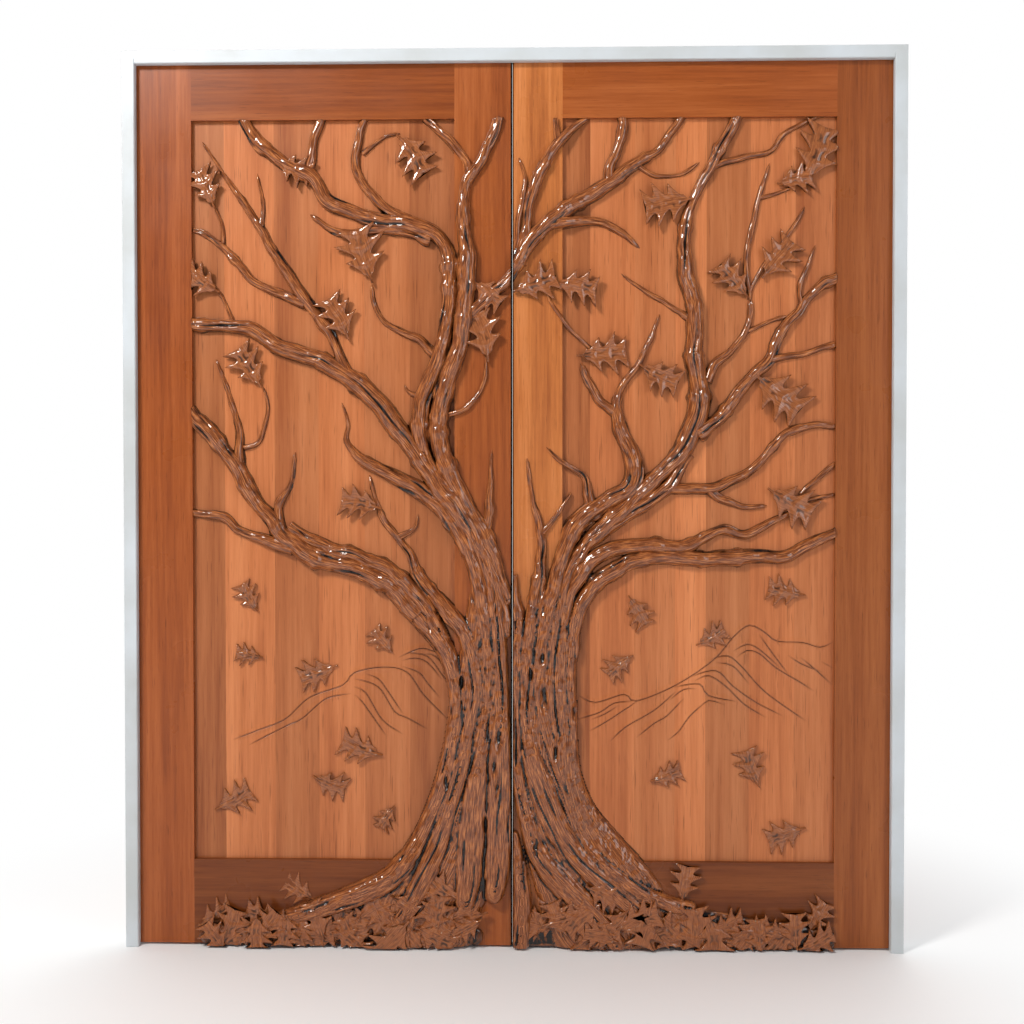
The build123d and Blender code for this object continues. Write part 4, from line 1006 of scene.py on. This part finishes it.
# The hinges and catches: plates, knuckles and pins of brushed brass, let flush into stile and jamb, four
# screws to a plate, and a bullet catch of turned brass on a steel spring in each leaf's top edge.
BRASS = (0.56, 0.40, 0.17)
BRASS_TARNISH = (0.30, 0.19, 0.08)
CATCH_BRASS = (0.66, 0.49, 0.22)
STEEL = (0.55, 0.55, 0.56)
STEEL_TARNISH = (0.34, 0.33, 0.32)
SCREW_RADIUS = 0.0042
SCREW_PROUD = 0.0004
SCREW_THICKNESS = 0.0012
SLOT_WIDTH = 0.0009
SLOT_DEPTH = 0.0007
SCREW_HEIGHTS = (-0.038, -0.014, 0.014, 0.038)
SCREW_STAGGER = 0.006
HINGE_GAP = 0.003
BRUSH_MARK_HEIGHT = 0.0001


def metal_material(name, colour, tarnish, roughness, brushed):
    """Metal with fine brush marks along one way, cloudy tarnish and duller patches."""
    material, tree, shader = new_material(name)
    shader.inputs["Metallic"].default_value = 1.0
    place = shader_node(tree, "TexCoord", {}).outputs["Object"]
    clouds = noise_over(tree, place, 60.0, 5.0)
    tree.links.new(toned(tree, clouds, (0.36, tarnish), (0.56, colour)), shader.inputs["Base Color"])
    worn = mapped(tree, clouds, 0.0, 1.0, roughness - 0.08, roughness + 0.16)
    tree.links.new(worn, shader.inputs["Roughness"])
    stretched = shader_node(tree, "Mapping", {"Vector": place}, {"Scale": brushed}).outputs["Vector"]
    roughened(tree, shader, noise_over(tree, stretched, 1.0, 4.0), 0.3, BRUSH_MARK_HEIGHT)
    return material


def plate_screws(name, plate_node, face, outward, material):
    """Four slotted screw heads on a hinge plate, in a staggered row, each turned its own way."""
    low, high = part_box(plate_node)
    wood_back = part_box("left_hinge_stile")[1][1]
    middle_y = (low[1] + wood_back) / 2
    middle_z = (low[2] + high[2]) / 2
    heads = []
    for k, height in enumerate(SCREW_HEIGHTS):
        bpy.ops.object.select_all(action="DESELECT")
        bpy.ops.mesh.primitive_cylinder_add(vertices=24, radius=SCREW_RADIUS, depth=SCREW_THICKNESS)
        head = bpy.context.object
        bpy.ops.mesh.primitive_cube_add(size=1.0, location=(0.0, 0.0, SCREW_THICKNESS / 2))
        cutter = bpy.context.object
        cutter.scale = (3 * SCREW_RADIUS, SLOT_WIDTH, 2 * SLOT_DEPTH)
        cutter.rotation_euler = (0.0, 0.0, 0.9 * k + 0.4)
        bpy.context.view_layer.objects.active = head
        slot = head.modifiers.new("slot", "BOOLEAN")
        slot.operation = "DIFFERENCE"
        slot.object = cutter
        bpy.ops.object.modifier_apply(modifier="slot")
        bpy.data.objects.remove(cutter)
        y = middle_y + (SCREW_STAGGER if k % 2 else -SCREW_STAGGER)
        x = face + outward * (SCREW_PROUD - SCREW_THICKNESS / 2)
        head.data.transform(mathutils.Matrix.Translation((x, y, middle_z + height))
                            @ mathutils.Matrix.Rotation(math.radians(90.0) * outward, 4, "Y"))
        heads.append(head)
    bpy.ops.object.select_all(action="DESELECT")
    for head in heads:
        head.select_set(True)
    bpy.context.view_layer.objects.active = heads[0]
    bpy.ops.object.join()
    heads[0].name = name
    heads[0].data.materials.append(material)
    return heads[0]


hinge_brass = metal_material("hinge_brass", BRASS, BRASS_TARNISH, 0.34, (900.0, 900.0, 30.0))
catch_brass = metal_material("catch_brass_polished", CATCH_BRASS, BRASS, 0.22, (30.0, 30.0, 1200.0))
spring_wire = metal_material("spring_wire", STEEL, STEEL_TARNISH, 0.38, (400.0, 400.0, 400.0))
for side, outward in (("left", -1), ("right", 1)):
    for height in ("bottom", "middle", "top"):
        for part in ("leaf_plate", "frame_plate", "pin"):
            repaint(f"{side}_{height}_hinge_{part}", hinge_brass)
        stile_low, stile_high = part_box(f"{side}_hinge_stile")
        leaf_face = stile_high[0] if side == "right" else stile_low[0]
        leaf_screws = plate_screws(f"{side}_{height}_leaf_screws", f"{side}_{height}_hinge_leaf_plate",
                                   leaf_face, outward, hinge_brass)
        frame_face = leaf_face + outward * HINGE_GAP
        frame_screws = plate_screws(f"{side}_{height}_frame_screws", f"{side}_{height}_hinge_frame_plate",
                                    frame_face, -outward, hinge_brass)
        for screws, body in ((leaf_screws, f"{side}_leaf"), (frame_screws, "frame")):
            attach(screws, body)
    for part in ("catch_sleeve", "catch_bullet", "strike_plate"):
        repaint(f"{side}_{part}", catch_brass)
    repaint(f"{side}_catch_spring", spring_wire)

# The camera stands in front of the doors, a little right of the middle and at half their height, and is
# turned slightly back to their middle, which gives the photograph's view.
CAMERA_PLACE = (0.075, -3.096, 1.111)
CAMERA_TURN_LEFT = 1.40
CAMERA_TILT_DOWN = 1.03
CAMERA_LENS = 45.0
camera_data = bpy.data.cameras.new("camera")
camera_data.lens = CAMERA_LENS
camera = bpy.data.objects.new("camera", camera_data)
camera.location = CAMERA_PLACE
camera.rotation_euler = (math.radians(90.0 - CAMERA_TILT_DOWN), 0.0, math.radians(CAMERA_TURN_LEFT))
scene.collection.objects.link(camera)
scene.camera = camera

# The studio: a backdrop that is white to the eye all round and lights the doors from behind, a dim room in
# front, a floor that turns white away from the shadow, a bright lamp on the upper left and two softer ones.
FLOOR_SIZE = 60.0
FLOOR_DROP = 0.0005
SHADOW_REACH = 0.75
WHITE_REACH = 1.8
BACKDROP = (1.0, 1.0, 1.0)
ROOM = (0.20, 0.20, 0.21)
FLOOR_GREY = (0.94, 0.94, 0.94)
bpy.ops.object.select_all(action="DESELECT")
bpy.ops.mesh.primitive_plane_add(size=FLOOR_SIZE, location=(0.0, 0.0, cad_box[0][2] - FLOOR_DROP))
floor = bpy.context.object
floor.name = "floor"
floor_material, tree, shader = new_material("floor_material")
shader.inputs["Base Color"].default_value = (*FLOOR_GREY, 1.0)
shader.inputs["Roughness"].default_value = 0.8
shader.inputs["Specular IOR Level"].default_value = 0.1
place = shader_node(tree, "TexCoord", {}).outputs["Object"]
distance = shader_node(tree, "VectorMath", {0: place}, operation="LENGTH").outputs["Value"]
away = shader_node(tree, "MapRange", {"Value": distance}, {"From Min": SHADOW_REACH, "From Max": WHITE_REACH},
                   interpolation_type="SMOOTHSTEP").outputs["Result"]
ray = shader_node(tree, "LightPath", {}).outputs
looked_at = calculated(tree, "ADD", ray["Is Camera Ray"], ray["Is Glossy Ray"])
looked_through = calculated(tree, "ADD", looked_at, ray["Is Transmission Ray"])
looked_through.node.use_clamp = True
white_share = calculated(tree, "MULTIPLY", away, looked_through)
white = shader_node(tree, "Emission", {}, {"Color": (*BACKDROP, 1.0)}).outputs["Emission"]
lit = shader_node(tree, "MixShader", {"Fac": white_share, 1: shader.outputs["BSDF"], 2: white})
tree.links.new(lit.outputs["Shader"], tree.nodes["Material Output"].inputs["Surface"])
floor.data.materials.append(floor_material)

world = bpy.data.worlds.new("studio")
scene.world = world
world.use_nodes = True
sky = world.node_tree
direction = shader_node(sky, "TexCoord", {}).outputs["Generated"]
depth = shader_node(sky, "SeparateXYZ", {"Vector": direction}).outputs["Y"]
behind = shader_node(sky, "MapRange", {"Value": depth}, {"From Min": -0.2, "From Max": 0.3},
                     interpolation_type="SMOOTHSTEP").outputs["Result"]
ray = shader_node(sky, "LightPath", {}).outputs
seen = calculated(sky, "MAXIMUM", ray["Is Camera Ray"], ray["Is Transmission Ray"])
white_share = calculated(sky, "MAXIMUM", seen, behind)
shade = shader_node(sky, "Mix", {"Factor": white_share}, {"A": (*ROOM, 1.0), "B": (*BACKDROP, 1.0)},
                    data_type="RGBA").outputs["Result"]
sky.links.new(shade, sky.nodes["Background"].inputs["Color"])


def soft_lamp(name, place, aim, size, power, colour):
    """A square area lamp that points at one spot."""
    data = bpy.data.lights.new(name, "AREA")
    data.shape = "SQUARE"
    data.size = size
    data.energy = power
    data.color = colour
    lamp = bpy.data.objects.new(name, data)
    lamp.location = place
    towards = mathutils.Vector(aim) - mathutils.Vector(place)
    lamp.rotation_euler = towards.to_track_quat("-Z", "Y").to_euler()
    scene.collection.objects.link(lamp)
    return lamp


soft_lamp("key_lamp", (-2.3, -3.0, 3.9), (0.0, 0.0, 1.1), 0.9, 150.0, (1.0, 0.97, 0.93))
soft_lamp("fill_lamp", (3.2, -3.6, 2.4), (0.0, 0.0, 1.0), 2.2, 45.0, (0.97, 0.98, 1.0))
soft_lamp("back_lamp", (1.5, 4.0, 3.2), (0.0, 0.0, 1.0), 2.5, 40.0, (1.0, 0.98, 0.96))

scene.view_settings.view_transform = "Standard"
